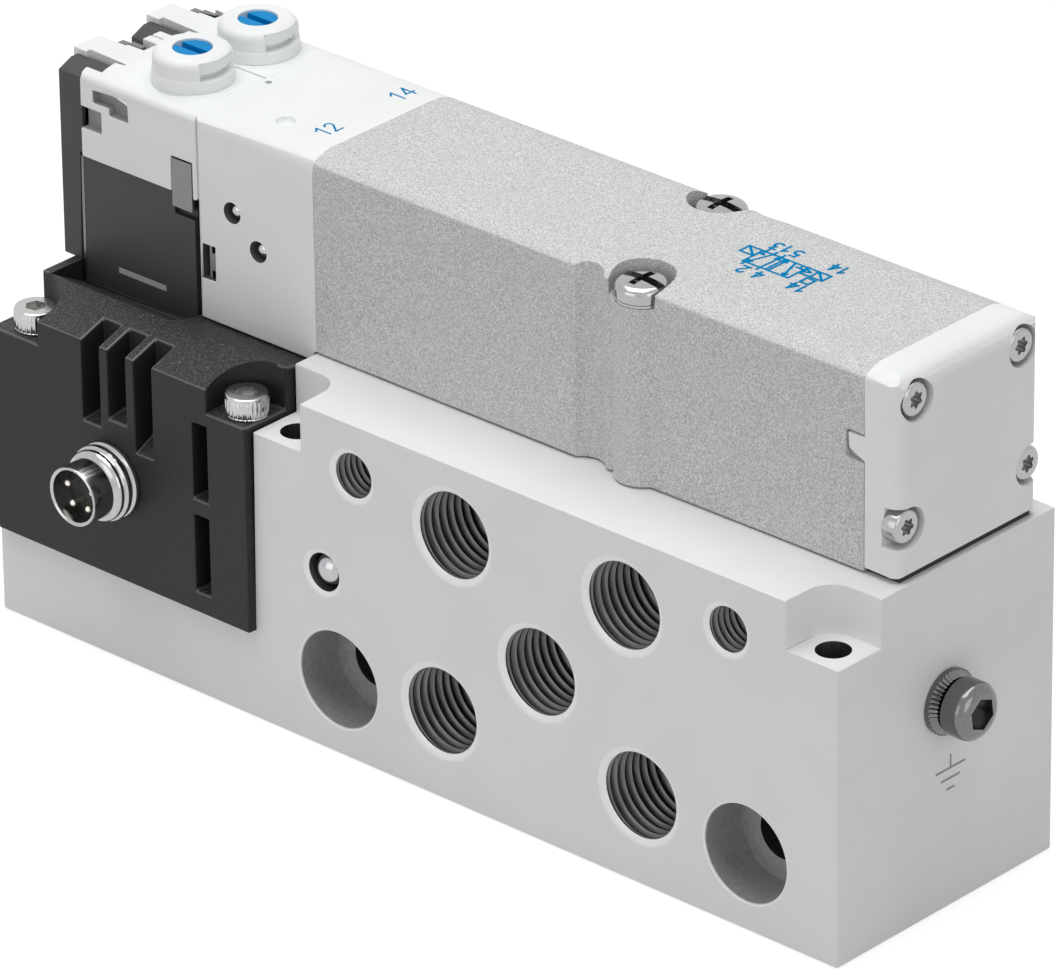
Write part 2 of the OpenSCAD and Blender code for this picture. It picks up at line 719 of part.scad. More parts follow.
// Turned spool with six lands, each with a groove for a seal ring
module spool() {
  color("#d4d6d6") difference() {
    union() {
      rod_x(spool_x0, spool_x1, valve_y, bore_z, spool_waist_d);
      for (x = land_stations)
        rod_x(x - land_w / 2, x + land_w / 2, valve_y, bore_z, land_d);
    }
    for (x = land_stations) difference() {
      rod_x(x - seal_w / 2 - run_play, x + seal_w / 2 + run_play, valve_y, bore_z,
        land_d + over);
      rod_x(x - land_w, x + land_w, valve_y, bore_z, seal_bore_d - 2 * run_play);
    }
  }
}

module seal_ring(x, w, d_out, d_in) {
  difference() {
    rod_x(x - w / 2, x + w / 2, valve_y, bore_z, d_out);
    rod_x(x - w, x + w, valve_y, bore_z, d_in);
  }
}

module spool_seals() {
  color("#1e1e1e") for (x = land_stations) seal_ring(x, seal_w, seal_d, seal_bore_d);
}

module piston(x0) {
  groove = 1.4;
  color("#5a5f66") difference() {
    rod_x(x0, x0 + piston_t, valve_y, bore_z, piston_d);
    difference() {
      rod_x(x0 + piston_t / 2 - groove / 2, x0 + piston_t / 2 + groove / 2, valve_y, bore_z,
        piston_d + over);
      rod_x(x0 - over, x0 + piston_t + over, valve_y, bore_z, piston_d - 2.4);
    }
  }
}

module piston_12() {
  piston(body_x0 + end_play);
}

module piston_14() {
  piston(spool_x1);
}

module piston_seals() {
  color("#1e1e1e") for (x = [body_x0 + end_play, spool_x1])
    seal_ring(x + piston_t / 2, 1.3, piston_bore_d - 2 * run_play, piston_d - 2.3);
}

// End cap with rounded outer edges and four recessed screws
module end_cap() {
  cap_z = gasket_z;
  recess_d = cap_head_d + 0.9;
  color("#f0f0ee") difference() {
    union() {
      intersection() {
        along_x(body_x1, cap_x1) polygon(crown_points(cap_z));
        along_y(side_y - over, side_y + valve_w + over)
          polygon(rounded(body_x1, cap_z, cap_x1, top_z, [0, 0.8, cap_top_r, 0]));
        along_z(cap_z - over, top_z + over)
          polygon(rounded(body_x1 - over, side_y, cap_x1, side_y + valve_w,
            [0, cap_side_r, cap_side_r, 0]));
      }
      for (s = [-1, 1]) {
        y_side = valve_y + s * valve_w / 2;
        along_y(min(y_side, y_side - s * tab_t), max(y_side, y_side - s * tab_t))
          polygon([[body_x1 + over, body_z + tab_z], [body_x1 + over, body_z + tab_z + tab_h],
            [body_x1 - tab_l, body_z + tab_z + tab_h],
            [body_x1 - tab_l + 0.2, body_z + tab_z + 1.1], [body_x1, body_z + tab_z]]);
      }
    }
    for (s = [-1, 1]) {
      y_up = valve_y + s * cap_screw_upper[0];
      y_low = valve_y + s * cap_screw_lower[0];
      z_up = body_z + cap_screw_upper[1];
      z_low = body_z + cap_screw_lower[1];
      x_floor = cap_x1 - cap_head_recess;
      rod_x(x_floor, cap_x1 + over, y_up, z_up, recess_d);
      rod_x(body_x1 - over, cap_x1, y_up, z_up, cap_screw_d + 2 * play);
      rod_x(x_floor, cap_x1 + over, y_low, z_low, recess_d);
      rod_x(body_x1 - over, cap_x1, y_low, z_low, cap_screw_d + 2 * play);
      box(x_floor, cap_x1 + over, min(y_low, y_low + s * 4), max(y_low, y_low + s * 4),
        z_low - recess_d / 2, z_low + recess_d / 2);
    }
    // Groove for the chamber's seal
    difference() {
      rod_x(body_x1 - over, body_x1 + 1, valve_y, bore_z, piston_bore_d + 3.4);
      rod_x(body_x1 - over, body_x1 + 2, valve_y, bore_z, piston_bore_d);
    }
  }
}

module end_cap_seal() {
  color("#1e1e1e") seal_ring(body_x1 + 0.5, 0.9, piston_bore_d + 3.2, piston_bore_d + 0.2);
}

module end_cap_screws() {
  x_seat = cap_x1 - cap_head_recess;
  head_t = cap_head_recess - 0.4;
  color("#a6a9a9") for (s = [-1, 1]) for (p = [cap_screw_upper, cap_screw_lower])
    translate([0, valve_y + s * p[0], body_z + p[1]]) difference() {
      union() {
        rod_x(body_x1 - 7.5, x_seat + 0.5, 0, 0, cap_screw_d);
        rod_x(x_seat, x_seat + head_t, 0, 0, cap_head_d);
      }
      translate([x_seat + head_t - 1.3, 0, 0]) rotate([0, 90, 0])
        cylinder(d = 2.2, h = 1.3 + over, $fn = 6);
    }
}

// Pilot block between the body and the solenoids
ball_places = [[6.2, 14.8], [10.6, 10.8]];
pilot_ball_d = 2.5;
window_x = [0.7, 3];
window_z = [4.2, 9];

module pilot_block() {
  color("#eeeeec") difference() {
    intersection() {
      union() {
        along_x(pilot_x0, body_x0) polygon(crown_points(body_z));
        box(pilot_x0, plug_x1 - 0.1, side_y, side_y + valve_w, skirt_z, body_z + over);
      }
      along_z(skirt_z - over, top_z + over)
        polygon(rounded(pilot_x0, side_y, body_x0 + over, side_y + valve_w, [0.8, 0, 0, 0.8]));
    }
    for (p = ball_places)
      rod_y(side_y - over, side_y + pilot_ball_d + 0.6, pilot_x0 + p[0], body_z + p[1],
        pilot_ball_d + 0.4);
    box(pilot_x0 + window_x[0], pilot_x0 + window_x[1], side_y - over, side_y + 2.4,
      body_z + window_z[0], body_z + window_z[1]);
    // Bleed dimple in the top and mark hole where the two heads meet
    translate([pilot_x0 + 10.7, valve_y - 7.6, top_z + 0.2]) sphere(d = 2.6);
    rod_z(top_z - 1.6, top_z + over, pilot_x0 + 1.1, valve_y - 0.7, 0.9);
    // Groove for the seal of the piston chamber
    difference() {
      rod_x(body_x0 - 1, body_x0 + over, valve_y, bore_z, piston_bore_d + 3.4);
      rod_x(body_x0 - 2, body_x0 + over, valve_y, bore_z, piston_bore_d);
    }
  }
}

module pilot_seal() {
  color("#1e1e1e") seal_ring(body_x0 - 0.5, 0.9, piston_bore_d + 3.2, piston_bore_d + 0.2);
}

module pilot_balls() {
  color("#d8d8d8") for (p = ball_places)
    translate([pilot_x0 + p[0], side_y + pilot_ball_d / 2 + 0.4, body_z + p[1]])
      sphere(d = pilot_ball_d);
}

module pilot_latch() {
  // Bent spring strip that shows in the window
  x0 = pilot_x0 + window_x[0] + 0.9;
  color("#9c9f9f") union() {
    box(x0, x0 + 0.4, side_y + 0.5, side_y + 2.4, body_z + window_z[0], body_z + window_z[1]);
    box(x0, x0 + 1.2, side_y + 0.5, side_y + 0.9, body_z + window_z[0] + 1.2,
      body_z + window_z[1] - 1.2);
  }
}

// Solenoid heads, coils and overrides. side is -1 for the front pair and +1 for the rear pair.
function axis_y(side) = valve_y + side * override_dy;
function inner_y(side) = valve_y + side * play;
function outer_y(side) = valve_y + side * valve_w / 2;
function low_y(side) = min(inner_y(side), outer_y(side));
function high_y(side) = max(inner_y(side), outer_y(side));

module head(side) {
  tine_y0 = low_y(side) + plug_piece_w + 0.4;
  tine_x0 = head_x0 - 5;
  color("#f2f1ef") difference() {
    union() {
      intersection() {
        along_x(head_x0, pilot_x0) polygon(crown_points(head_z));
        box(head_x0 - over, pilot_x0 + over, low_y(side), high_y(side), head_z, top_z);
      }
      box(tine_x0, head_x0 + over, tine_y0, tine_y0 + 4.6, top_z - 8, top_z);
      // Level pad for the turret on the crowned top
      rod_z(top_z - 1.5, top_z, axis_x, axis_y(side), turret_d + 0.5);
    }
    // Recess for the coil plug's tongue, and the slot that frees the tine
    box(head_x0 - over, head_x0 + tongue_l + play, low_y(side) + 0.4 + tongue_inset - play,
      tine_y0 + 0.01, top_z - 0.7 - tongue_t - play, top_z + over);
    box(tine_x0 + 2.4, head_x0 + 4.1, tine_y0, tine_y0 + 0.5, top_z - 2.6, top_z + over);
    // Seat of the top clip
    box(head_x0 - over, head_x0 + 2.6, tine_y0 + 5, tine_y0 + 7.4, top_z - 1.6, top_z + over);
    // Button well and push pin bore
    rod_z(spring_floor, top_z + over, axis_x, axis_y(side), button_flange_d + 2 * run_play);
    rod_z(head_z - over, spring_floor + over, axis_x, axis_y(side), push_pin_d + 2 * run_play);
    // Pocket of the side clip
    side_pocket(side, head_z - over, head_z + 4.9);
    if (side < 0) {
      box(head_x0 + 2.2, head_x0 + 8.4, side_y - over, side_y + 1.3, top_z - 4.4, top_z - 2.6);
      box(head_x0 + 5, head_x0 + 8.4, side_y - over, side_y + 1.3, top_z - 5.4, top_z - 3.6);
      box(head_x0 - over, head_x0 + 3.6, side_y - over, side_y + 1.3, top_z - 8.4, top_z - 5.4);
    }
  }
}

clip_x = [pilot_x0 - 4.3, pilot_x0 - 0.8];
clip_t = 0.5;

module side_pocket(side, z0, z1) {
  y = outer_y(side);
  box(clip_x[0] - play, clip_x[1] + play, min(y + side, y - side * 1.2),
    max(y + side, y - side * 1.2), z0, z1);
}

module coil(side) {
  color("#4a4a4c") difference() {
    box(coil_x0, coil_x1, low_y(side) + 0.5, high_y(side) - 0.5, coil_z, head_z);
    rod_z(coil_z - over, head_z + over, axis_x, axis_y(side), bore_d);
    side_pocket(side, head_z - 3.2, head_z + over);
  }
}

module yoke(side) {
  color("#7d8082") difference() {
    union() {
      box(coil_x0 - yoke_t, coil_x0, low_y(side) + 0.5, high_y(side) - 0.5,
        coil_z - yoke_t, head_z - 0.3);
      box(coil_x0 - yoke_t, coil_x1, low_y(side) + 0.5, high_y(side) - 0.5,
        coil_z - yoke_t, coil_z);
    }
  }
}

module core(side) {
  color("#b5b8b9") rod_z(coil_z, coil_z + core_h, axis_x, axis_y(side), armature_d);
}

module armature(side) {
  color("#b5b8b9") difference() {
    rod_z(armature_z, armature_top, axis_x, axis_y(side), armature_d);
    rod_z(armature_z - over, armature_z + armature_hole_h, axis_x, axis_y(side),
      armature_hole_d);
  }
}

module armature_spring(side) {
  wire = 0.4;
  color("#c8c8c8") translate([axis_x, axis_y(side), coil_z + core_h + 0.02])
    coil_spring(armature_hole_d / 2 - 0.1 - wire / 2, wire, 5,
      armature_travel + armature_hole_h - 0.04);
}

module coil_plug(side) {
  // Black plug with a bevelled top that covers the coil's terminals
  y0 = low_y(side) + 0.4;
  y1 = y0 + plug_piece_w;
  x0 = head_x0 - 4.2;
  z1 = top_z - 0.7;
  upper_z = head_z + 0.3;
  color("#303032") union() {
    along_x(x0, coil_x0 - yoke_t - play)
      polygon([[y0, plug_top], [y1, plug_top], [y1, z1], [y0 + 2.3, z1], [y0, z1 - 1]]);
    along_x(x0, head_x0 - play)
      polygon([[y0, upper_z], [y1, upper_z], [y1, z1], [y0 + 2.3, z1], [y0, z1 - 1]]);
    // Tongue that reaches into the head
    along_x(x0, head_x0 + tongue_l)
      polygon([[y0 + tongue_inset, z1 - tongue_t], [y1, z1 - tongue_t], [y1, z1],
        [y0 + 2.3, z1], [y0 + tongue_inset, z1 - 0.5]]);
  }
}

module side_clip(side) {
  y = outer_y(side);
  z0 = head_z - 2;
  z1 = head_z + 4.7;
  leg = [y - side * clip_t, y];
  color("#a7abad") union() {
    box(clip_x[0], clip_x[1], min(leg), max(leg), z0, z1);
    box(clip_x[0], clip_x[1], min(y, y - side * 1.1), max(y, y - side * 1.1), z1 - clip_t, z1);
    box(clip_x[0], clip_x[1], min(y, y - side * 1.1), max(y, y - side * 1.1), z0, z0 + clip_t);
  }
}

module top_clip(side) {
  // Folded strip that holds the plug's lead in the head
  y0 = low_y(side) + plug_piece_w + 5.6;
  x0 = head_x0 - 3.2;
  color("#6b6e70") union() {
    box(x0, head_x0 + 2.5, y0, y0 + 1.9, top_z - 1.5, top_z - 1);
    box(x0, x0 + 0.5, y0, y0 + 1.9, top_z - 6, top_z - 1);
    box(x0 + 2.3, head_x0 + 1.4, y0 + 0.5, y0 + 1.4, top_z - 1.1, top_z - 0.4);
  }
}

// Turret round an override button, with a lip, a rounded top and a window towards +X
module turret(side) {
  r = turret_d / 2;
  base_h = 1.5;
  soft = 1.2;
  slit_h = 0.9;
  hole_r = button_d / 2 + run_play;
  color("#f4f4f2") translate([axis_x, axis_y(side), top_z]) difference() {
    rotate_extrude() polygon(concat(
      [[hole_r, 0], [r + 0.25, 0], [r + 0.1, base_h], [r, base_h + 0.15], [r, turret_h - soft]],
      arc(r - soft, turret_h - soft, soft, 15, 90, 5),
      [[hole_r, turret_h]]));
    // Window towards +X: the wall steps in above the base, with a slit at its foot
    turret_window(r, 36, base_h, turret_h - 0.4, r - 0.45);
    turret_window(r, 34, base_h, base_h + slit_h, r - 1.3);
  }
}

module turret_window(r, half_angle, z0, z1, r_in) {
  difference() {
    along_z(z0, z1)
      polygon([[0, 0], [2 * r * cos(half_angle), -2 * r * sin(half_angle)], [2 * r, 0],
        [2 * r * cos(half_angle), 2 * r * sin(half_angle)]]);
    translate([0, 0, z0 - over]) cylinder(r = r_in, h = z1 - z0 + 2 * over);
  }
}

module push_pin(side) {
  color("#b9bcbd")
    rod_z(push_pin_z, button_flange_z, axis_x, axis_y(side), push_pin_d);
}

module button(side) {
  slot_wide = 1.1;
  slot_deep = 1.2;
  color("#1287c8") translate([axis_x, axis_y(side), 0]) difference() {
    union() {
      rod_z(button_flange_z, button_flange_z + button_flange_h, 0, 0, button_flange_d);
      rod_z(button_flange_z, button_top, 0, 0, button_d);
    }
    box(-button_d, button_d, -slot_wide / 2, slot_wide / 2, button_top - slot_deep,
      button_top + over);
  }
}

module button_spring(side) {
  wire = 0.4;
  color("#c8c8c8") translate([axis_x, axis_y(side), spring_floor + 0.02])
    coil_spring(button_flange_d / 2 - 0.5 - wire / 2, wire, 5,
      button_flange_z - spring_floor - 0.04);
}

module head_12() { head(-1); }
module head_14() { head(1); }
module coil_12() { coil(-1); }
module coil_14() { coil(1); }
module yoke_12() { yoke(-1); }
module yoke_14() { yoke(1); }
module core_12() { core(-1); }
module core_14() { core(1); }
module armature_12() { armature(-1); }
module armature_14() { armature(1); }
module armature_spring_12() { armature_spring(-1); }
module armature_spring_14() { armature_spring(1); }
module coil_plug_12() { coil_plug(-1); }
module coil_plug_14() { coil_plug(1); }
module side_clip_12() { side_clip(-1); }
module side_clip_14() { side_clip(1); }
module top_clip_12() { top_clip(-1); }
module top_clip_14() { top_clip(1); }
module turret_12() { turret(-1); }
module turret_14() { turret(1); }
module push_pin_12() { push_pin(-1); }
module push_pin_14() { push_pin(1); }
module button_12() { button(-1); }
module button_14() { button(1); }
module button_spring_12() { button_spring(-1); }
module button_spring_14() { button_spring(1); }

sub_base();
gallery_ball();
earth_screw();
earth_washer();
plug_housing();
housing_screws();
connector_shell();
connector_insert();
contact_pins();
port_gasket();
valve_body();
valve_screws();
spool();
spool_seals();
piston_12();
piston_14();
piston_seals();
end_cap();
end_cap_seal();
end_cap_screws();
pilot_block();
pilot_seal();
pilot_balls();
pilot_latch();
head_12();
head_14();
coil_12();
coil_14();
yoke_12();
yoke_14();
core_12();
core_14();
armature_12();
armature_14();
armature_spring_12();
armature_spring_14();
coil_plug_12();
coil_plug_14();
side_clip_12();
side_clip_14();
top_clip_12();
top_clip_14();
turret_12();
turret_14();
push_pin_12();
push_pin_14();
button_12();
button_14();
button_spring_12();
button_spring_14();
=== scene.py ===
# %% [markdown]
# A solenoid valve on its sub-base.
# The object is an air valve about 142 mm long. A milled aluminium block carries the
# pipe ports. A die-cast valve body sits on top, two white solenoid heads with blue
# override buttons sit at its end, and a black housing holds the round electrical plug.
# The CAD model already gives every part its size and place in metres, so this script
# only dresses it: rounded edges, screw threads, knurls, prints, finishes and light.

# %% Load the fixed frame
import json
import math

import bmesh
import bpy
from mathutils import Matrix, Vector


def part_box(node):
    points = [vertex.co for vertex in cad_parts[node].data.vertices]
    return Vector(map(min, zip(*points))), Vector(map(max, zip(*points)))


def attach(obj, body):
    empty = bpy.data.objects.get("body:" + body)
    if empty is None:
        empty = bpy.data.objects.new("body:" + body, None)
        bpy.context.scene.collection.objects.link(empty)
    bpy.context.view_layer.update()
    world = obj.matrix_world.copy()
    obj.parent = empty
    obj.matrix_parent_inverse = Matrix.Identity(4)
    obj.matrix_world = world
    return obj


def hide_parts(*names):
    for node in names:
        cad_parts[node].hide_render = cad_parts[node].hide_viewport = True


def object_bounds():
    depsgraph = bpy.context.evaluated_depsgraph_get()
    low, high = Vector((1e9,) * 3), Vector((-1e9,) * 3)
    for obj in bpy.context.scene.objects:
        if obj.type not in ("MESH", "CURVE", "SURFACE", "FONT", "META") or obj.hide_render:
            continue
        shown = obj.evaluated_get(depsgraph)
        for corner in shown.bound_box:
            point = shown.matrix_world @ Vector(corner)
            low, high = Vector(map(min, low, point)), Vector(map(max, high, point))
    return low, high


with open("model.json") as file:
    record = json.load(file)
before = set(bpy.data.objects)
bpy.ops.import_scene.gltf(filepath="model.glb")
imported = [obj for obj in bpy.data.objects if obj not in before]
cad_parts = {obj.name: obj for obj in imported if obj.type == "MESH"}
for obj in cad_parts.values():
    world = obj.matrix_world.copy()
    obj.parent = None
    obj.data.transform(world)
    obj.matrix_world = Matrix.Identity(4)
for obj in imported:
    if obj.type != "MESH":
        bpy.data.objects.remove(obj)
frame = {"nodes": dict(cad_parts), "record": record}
nodes = frame["nodes"]
cad_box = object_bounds()
MM = 0.001
print("CAD nodes:", len(nodes))
print("CAD box, mm:", [[round(v / MM, 1) for v in corner] for corner in cad_box])

# %% [markdown]
# Shader arithmetic.
# A finish is mostly arithmetic on a few noise values. Blender does that with Math nodes,
# which are tedious to wire by hand. The small class below wraps a socket and overloads
# the Python operators, so an expression such as 0.4 + 0.1 * grain adds the nodes itself.
# One more method, on the recipe, makes every other kind of node.

# %% A socket that understands arithmetic
class Value:
    """An output socket that takes part in Python expressions."""

    def __init__(self, recipe, socket):
        self.recipe = recipe
        self.socket = socket

    def _math(self, operation, other):
        return self.recipe.node("ShaderNodeMath", {"operation": operation},
                                {0: self, 1: other})

    def __add__(self, other):
        return self._math("ADD", other)

    def __mul__(self, other):
        return self._math("MULTIPLY", other)

    __radd__ = __add__
    __rmul__ = __mul__


class Recipe:
    """The shader nodes of a new material, or of a new world, as they are put together."""

    def __init__(self, name, of_world=False):
        self.owner = (bpy.data.worlds if of_world else bpy.data.materials).new(name)
        self.owner.use_nodes = True
        self.tree = self.owner.node_tree
        self.tree.nodes.clear()

    def node(self, kind, settings=None, inputs=None, output=0):
        """Adds a node: its settings first, then the values or links of its sockets."""
        made = self.tree.nodes.new(kind)
        for key, value in (settings or {}).items():
            setattr(made, key, value)
        for key, value in (inputs or {}).items():
            if isinstance(value, Value):
                self.tree.links.new(value.socket, made.inputs[key])
            else:
                made.inputs[key].default_value = value
        return Value(self, made.outputs[output]) if made.outputs else None

    def finish(self, shader, end="ShaderNodeOutputMaterial"):
        """Links the shader to the output node and gives back the material or world."""
        self.node(end, inputs={"Surface": shader})
        return self.owner


print("shader helpers ready")

# %% [markdown]
# Patterns shared by the finishes.
# Every pattern reads Object coordinates, which are metres here, because each piece keeps
# its place in its mesh. A noise scale of 4000 therefore has grains of a quarter of a
# millimetre. Colours are written as sRGB values from 0 to 255.

# %% Pattern helpers
def srgb(r, g, b):
    """Turns 0-255 sRGB numbers into the linear colour that a shader wants."""
    def linear(c):
        c /= 255
        return c / 12.92 if c <= 0.04045 else ((c + 0.055) / 1.055) ** 2.4
    return (linear(r), linear(g), linear(b), 1.0)


# Noise is flat on the planes of its own grid, so every pattern is shifted off round numbers
OFF_GRID = (0.0001373, 0.0001719, 0.0002137)


def grain(recipe, size_mm, detail, roughness, stretch=(1, 1, 1)):
    """Noise from 0 to 1 with grains of about size_mm."""
    here = recipe.node("ShaderNodeTexCoord", output="Object")
    turned = recipe.node("ShaderNodeMapping", {"vector_type": "POINT"},
                         {"Vector": here, "Location": OFF_GRID, "Scale": stretch})
    return recipe.node("ShaderNodeTexNoise", {"noise_dimensions": "3D"},
                       {"Vector": turned, "Scale": 1 / (size_mm * MM),
                        "Detail": detail, "Roughness": roughness})


def blend_colours(recipe, factor, first, second):
    """The first colour where the factor is 0 and the second where it is 1."""
    return recipe.node("ShaderNodeMix", {"data_type": "RGBA"},
                       {"Factor": factor, 6: first, 7: second}, output=2)


def bump(recipe, height, depth_mm):
    """A normal that stands for a relief depth_mm deep."""
    return recipe.node("ShaderNodeBump", inputs={
        "Height": height, "Distance": depth_mm * MM, "Strength": 1.0})


def ramp(recipe, value, low, high):
    """Stretches value so that low becomes 0 and high becomes 1."""
    return recipe.node("ShaderNodeMapRange", {"clamp": True}, {
        "Value": value, "From Min": low, "From Max": high})


print("pattern helpers ready")

# %% [markdown]
# The metals.
# The block is machined and matte anodised, so it is nearly even with a very fine tooth.
# The body is a blasted die casting: bright and dark specks a few tenths of a millimetre
# wide, which both the colour and the bump carry. Steel screws are smooth and reflective.
# The matte aluminium is shaded as a pale surface with little metal in it, because a full
# metal would mirror the studio and lose its even grey.

# %% Aluminium finishes
def anodised_block():
    """Even, matte and pale, with a fine tooth and a very faint cloud."""
    r = Recipe("anodised_block")
    fine = grain(r, 0.12, 2.0, 0.6)
    broad = grain(r, 14.0, 2.0, 0.5)
    tone = blend_colours(r, ramp(r, broad, 0.3, 0.7), srgb(236, 237, 236), srgb(241, 242, 241))
    shader = r.node("ShaderNodeBsdfPrincipled", inputs={
        "Base Color": tone, "Metallic": 0.0, "Roughness": 0.5 + 0.12 * fine,
        "Normal": bump(r, fine, 0.012)})
    return r.finish(shader)


def cast_body():
    """Bright and dark specks, a little calmer in broad patches."""
    r = Recipe("cast_body")
    speck = grain(r, 0.22, 3.0, 0.7)
    patch = grain(r, 6.0, 2.0, 0.5)
    tone = blend_colours(r, ramp(r, speck, 0.34, 0.66), srgb(158, 161, 160), srgb(238, 239, 238))
    tone = blend_colours(r, 0.25 * ramp(r, patch, 0.3, 0.7), tone, srgb(198, 200, 199))
    shader = r.node("ShaderNodeBsdfPrincipled", inputs={
        "Base Color": tone, "Metallic": 0.05, "Roughness": 0.5 + 0.2 * speck,
        "Normal": bump(r, speck, 0.05)})
    return r.finish(shader)


def bored_metal():
    """The cut wall of a bore, with tool rings, painted darker than the anodised outside: painted
    shade.
    """
    r = Recipe("bored_metal")
    rings = grain(r, 0.5, 2.0, 0.5, (0.15, 3.0, 0.15))
    tone = blend_colours(r, ramp(r, rings, 0.3, 0.7), srgb(96, 97, 98), srgb(128, 129, 129))
    shader = r.node("ShaderNodeBsdfPrincipled", inputs={
        "Base Color": tone, "Metallic": 0.85, "Roughness": 0.3 + 0.15 * rings,
        "Normal": bump(r, rings, 0.01)})
    return r.finish(shader)


def milled_metal(name, dark, light, metallic, rough):
    """Cut faces with faint marks from the tool. Fresh cuts get bright colours, and the screw
    pockets darker ones that are painted shade.
    """
    r = Recipe(name)
    marks = grain(r, 0.6, 2.0, 0.5)
    tone = blend_colours(r, ramp(r, marks, 0.3, 0.7), dark, light)
    shader = r.node("ShaderNodeBsdfPrincipled", inputs={
        "Base Color": tone, "Metallic": metallic, "Roughness": rough + 0.1 * marks,
        "Normal": bump(r, marks, 0.006)})
    return r.finish(shader)


def steel(name, colour, rough, mark_mm=0.4):
    """A plated or polished metal with faint uneven marks of about mark_mm."""
    r = Recipe(name)
    wear = grain(r, mark_mm, 3.0, 0.6)
    tone = blend_colours(r, ramp(r, wear, 0.3, 0.75), colour,
                         tuple(min(1.0, 1.15 * c) for c in colour[:3]) + (1.0,))
    shader = r.node("ShaderNodeBsdfPrincipled", inputs={
        "Base Color": tone, "Metallic": 1.0, "Roughness": rough + 0.1 * wear,
        "Normal": bump(r, wear, 0.006)})
    return r.finish(shader)


finishes = {
    "anodised_block": anodised_block(),
    # Painted shade: the bores and their threads are painted a darker grey than cut metal.
    "cast_body": cast_body(),
    "bored_metal": bored_metal(),
    "bright_rim": milled_metal("bright_rim", srgb(246, 247, 247), srgb(252, 252, 252), 0.1, 0.3),
    # Painted shade: the screw pockets are painted a darker grey than cut metal.
    "milled_pocket": milled_metal("milled_pocket", srgb(164, 166, 166), srgb(182, 184, 184),
                                  0.3, 0.35),
    "plated_steel": steel("plated_steel", srgb(186, 186, 184), 0.18),
    "screw_steel": steel("screw_steel", srgb(168, 168, 167), 0.1),
    "dark_steel": steel("dark_steel", srgb(116, 116, 115), 0.1),
    "bright_steel": steel("bright_steel", srgb(176, 177, 179), 0.1, 1.5),
    "spring_steel": steel("spring_steel", srgb(124, 124, 123), 0.3),
    "magnetic_steel": steel("magnetic_steel", srgb(172, 174, 176), 0.22),
    "spool_metal": steel("spool_metal", srgb(206, 208, 208), 0.2),
    "gold_contact": steel("gold_contact", srgb(224, 220, 208), 0.15),
}
print("metal finishes:", len(finishes))

# %% [markdown]
# The plastics and the rubber.
# The white heads are smooth moulded plastic with a soft gloss. The black housing has a
# spark-eroded grain: it is coarse on the faces that look up and finer on the sides, so
# the bump is stronger where the surface normal points upwards. Its glitter on the faces
# that look up is a painted glint: pale specks in the colour. Printing ink and engraving
# are plain plastics too, and so are the painted shade in small hollows and the painted
# highlight on the housing's upper edges.

# %% Plastic finishes
def plastic(name, colour, rough, tooth_mm=0.25, depth_mm=0.006, gloss=0.5):
    """A moulded surface: a fine tooth, and a cloud that is 3 percent darker."""
    r = Recipe(name)
    tooth = grain(r, tooth_mm, 2.0, 0.5)
    cloud = grain(r, 9.0, 1.0, 0.5)
    darker = tuple(0.97 * c for c in colour[:3]) + (1.0,)
    tone = blend_colours(r, ramp(r, cloud, 0.35, 0.65), darker, colour)
    shader = r.node("ShaderNodeBsdfPrincipled", inputs={
        "Base Color": tone, "Roughness": rough + 0.08 * tooth, "Specular IOR Level": gloss,
        "Normal": bump(r, tooth, depth_mm)})
    return r.finish(shader)


def black_housing():
    """Black with pits whose bump is strongest on faces that look up, and pale painted glints on
    those faces.
    """
    r = Recipe("black_housing")
    pits = grain(r, 0.3, 4.0, 0.7)
    face = r.node("ShaderNodeNewGeometry", output="Normal")
    up = r.node("ShaderNodeSeparateXYZ", inputs={"Vector": face}, output="Z")
    upward = ramp(r, up, 0.2, 0.8)
    # Painted glints: pale specks painted into the colour on faces that look up.
    painted_glint = ramp(r, grain(r, 0.24, 3.0, 0.7), 0.54, 0.66) * upward
    tone = blend_colours(r, ramp(r, pits, 0.45, 0.75), srgb(28, 28, 29), srgb(46, 46, 47))
    tone = blend_colours(r, 0.7 * painted_glint, tone, srgb(126, 126, 126))
    height = pits * (0.1 + 0.9 * upward)
    shader = r.node("ShaderNodeBsdfPrincipled", inputs={
        "Base Color": tone, "Roughness": 0.5 + 0.1 * pits, "IOR": 1.4,
        "Normal": bump(r, height, 0.09)})
    return r.finish(shader)


finishes.update({
    "black_housing": black_housing(),
    "white_plastic": plastic("white_plastic", srgb(242, 244, 244), 0.42),
    "coil_plastic": plastic("coil_plastic", srgb(56, 56, 55), 0.5, 0.3, 0.01),
    "grey_plastic": plastic("grey_plastic", srgb(110, 113, 118), 0.5),
    "blue_plastic": plastic("blue_plastic", srgb(0, 138, 204), 0.4, gloss=0.1),
    "seal_rubber": plastic("seal_rubber", srgb(34, 34, 34), 0.6, 0.2, 0.01),
    "blue_print": plastic("blue_print", srgb(0, 134, 190), 0.5, gloss=0.0),
    # Painted shade in the hollows of the pilot block.
    "shaded_plastic": plastic("shaded_plastic", srgb(92, 93, 93), 0.5, gloss=0.3),
    # Painted shade in the recesses of the front head.
    "recess_plastic": plastic("recess_plastic", srgb(166, 168, 168), 0.5, gloss=0.3),
    # Painted highlight on the upper edges of the black housing.
    "rubbed_edge": plastic("rubbed_edge", srgb(84, 84, 84), 0.26),
    "pale_print": plastic("pale_print", srgb(176, 176, 174), 0.5),
    "engraving": plastic("engraving", srgb(150, 152, 151), 0.6),
})
print("finishes:", len(finishes))

# %% [markdown]
# Every CAD node gets its finish.
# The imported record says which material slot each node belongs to, so one loop covers
# all of them. A piece that replaces a node later takes the finish of the same slot, or
# one that it names itself.

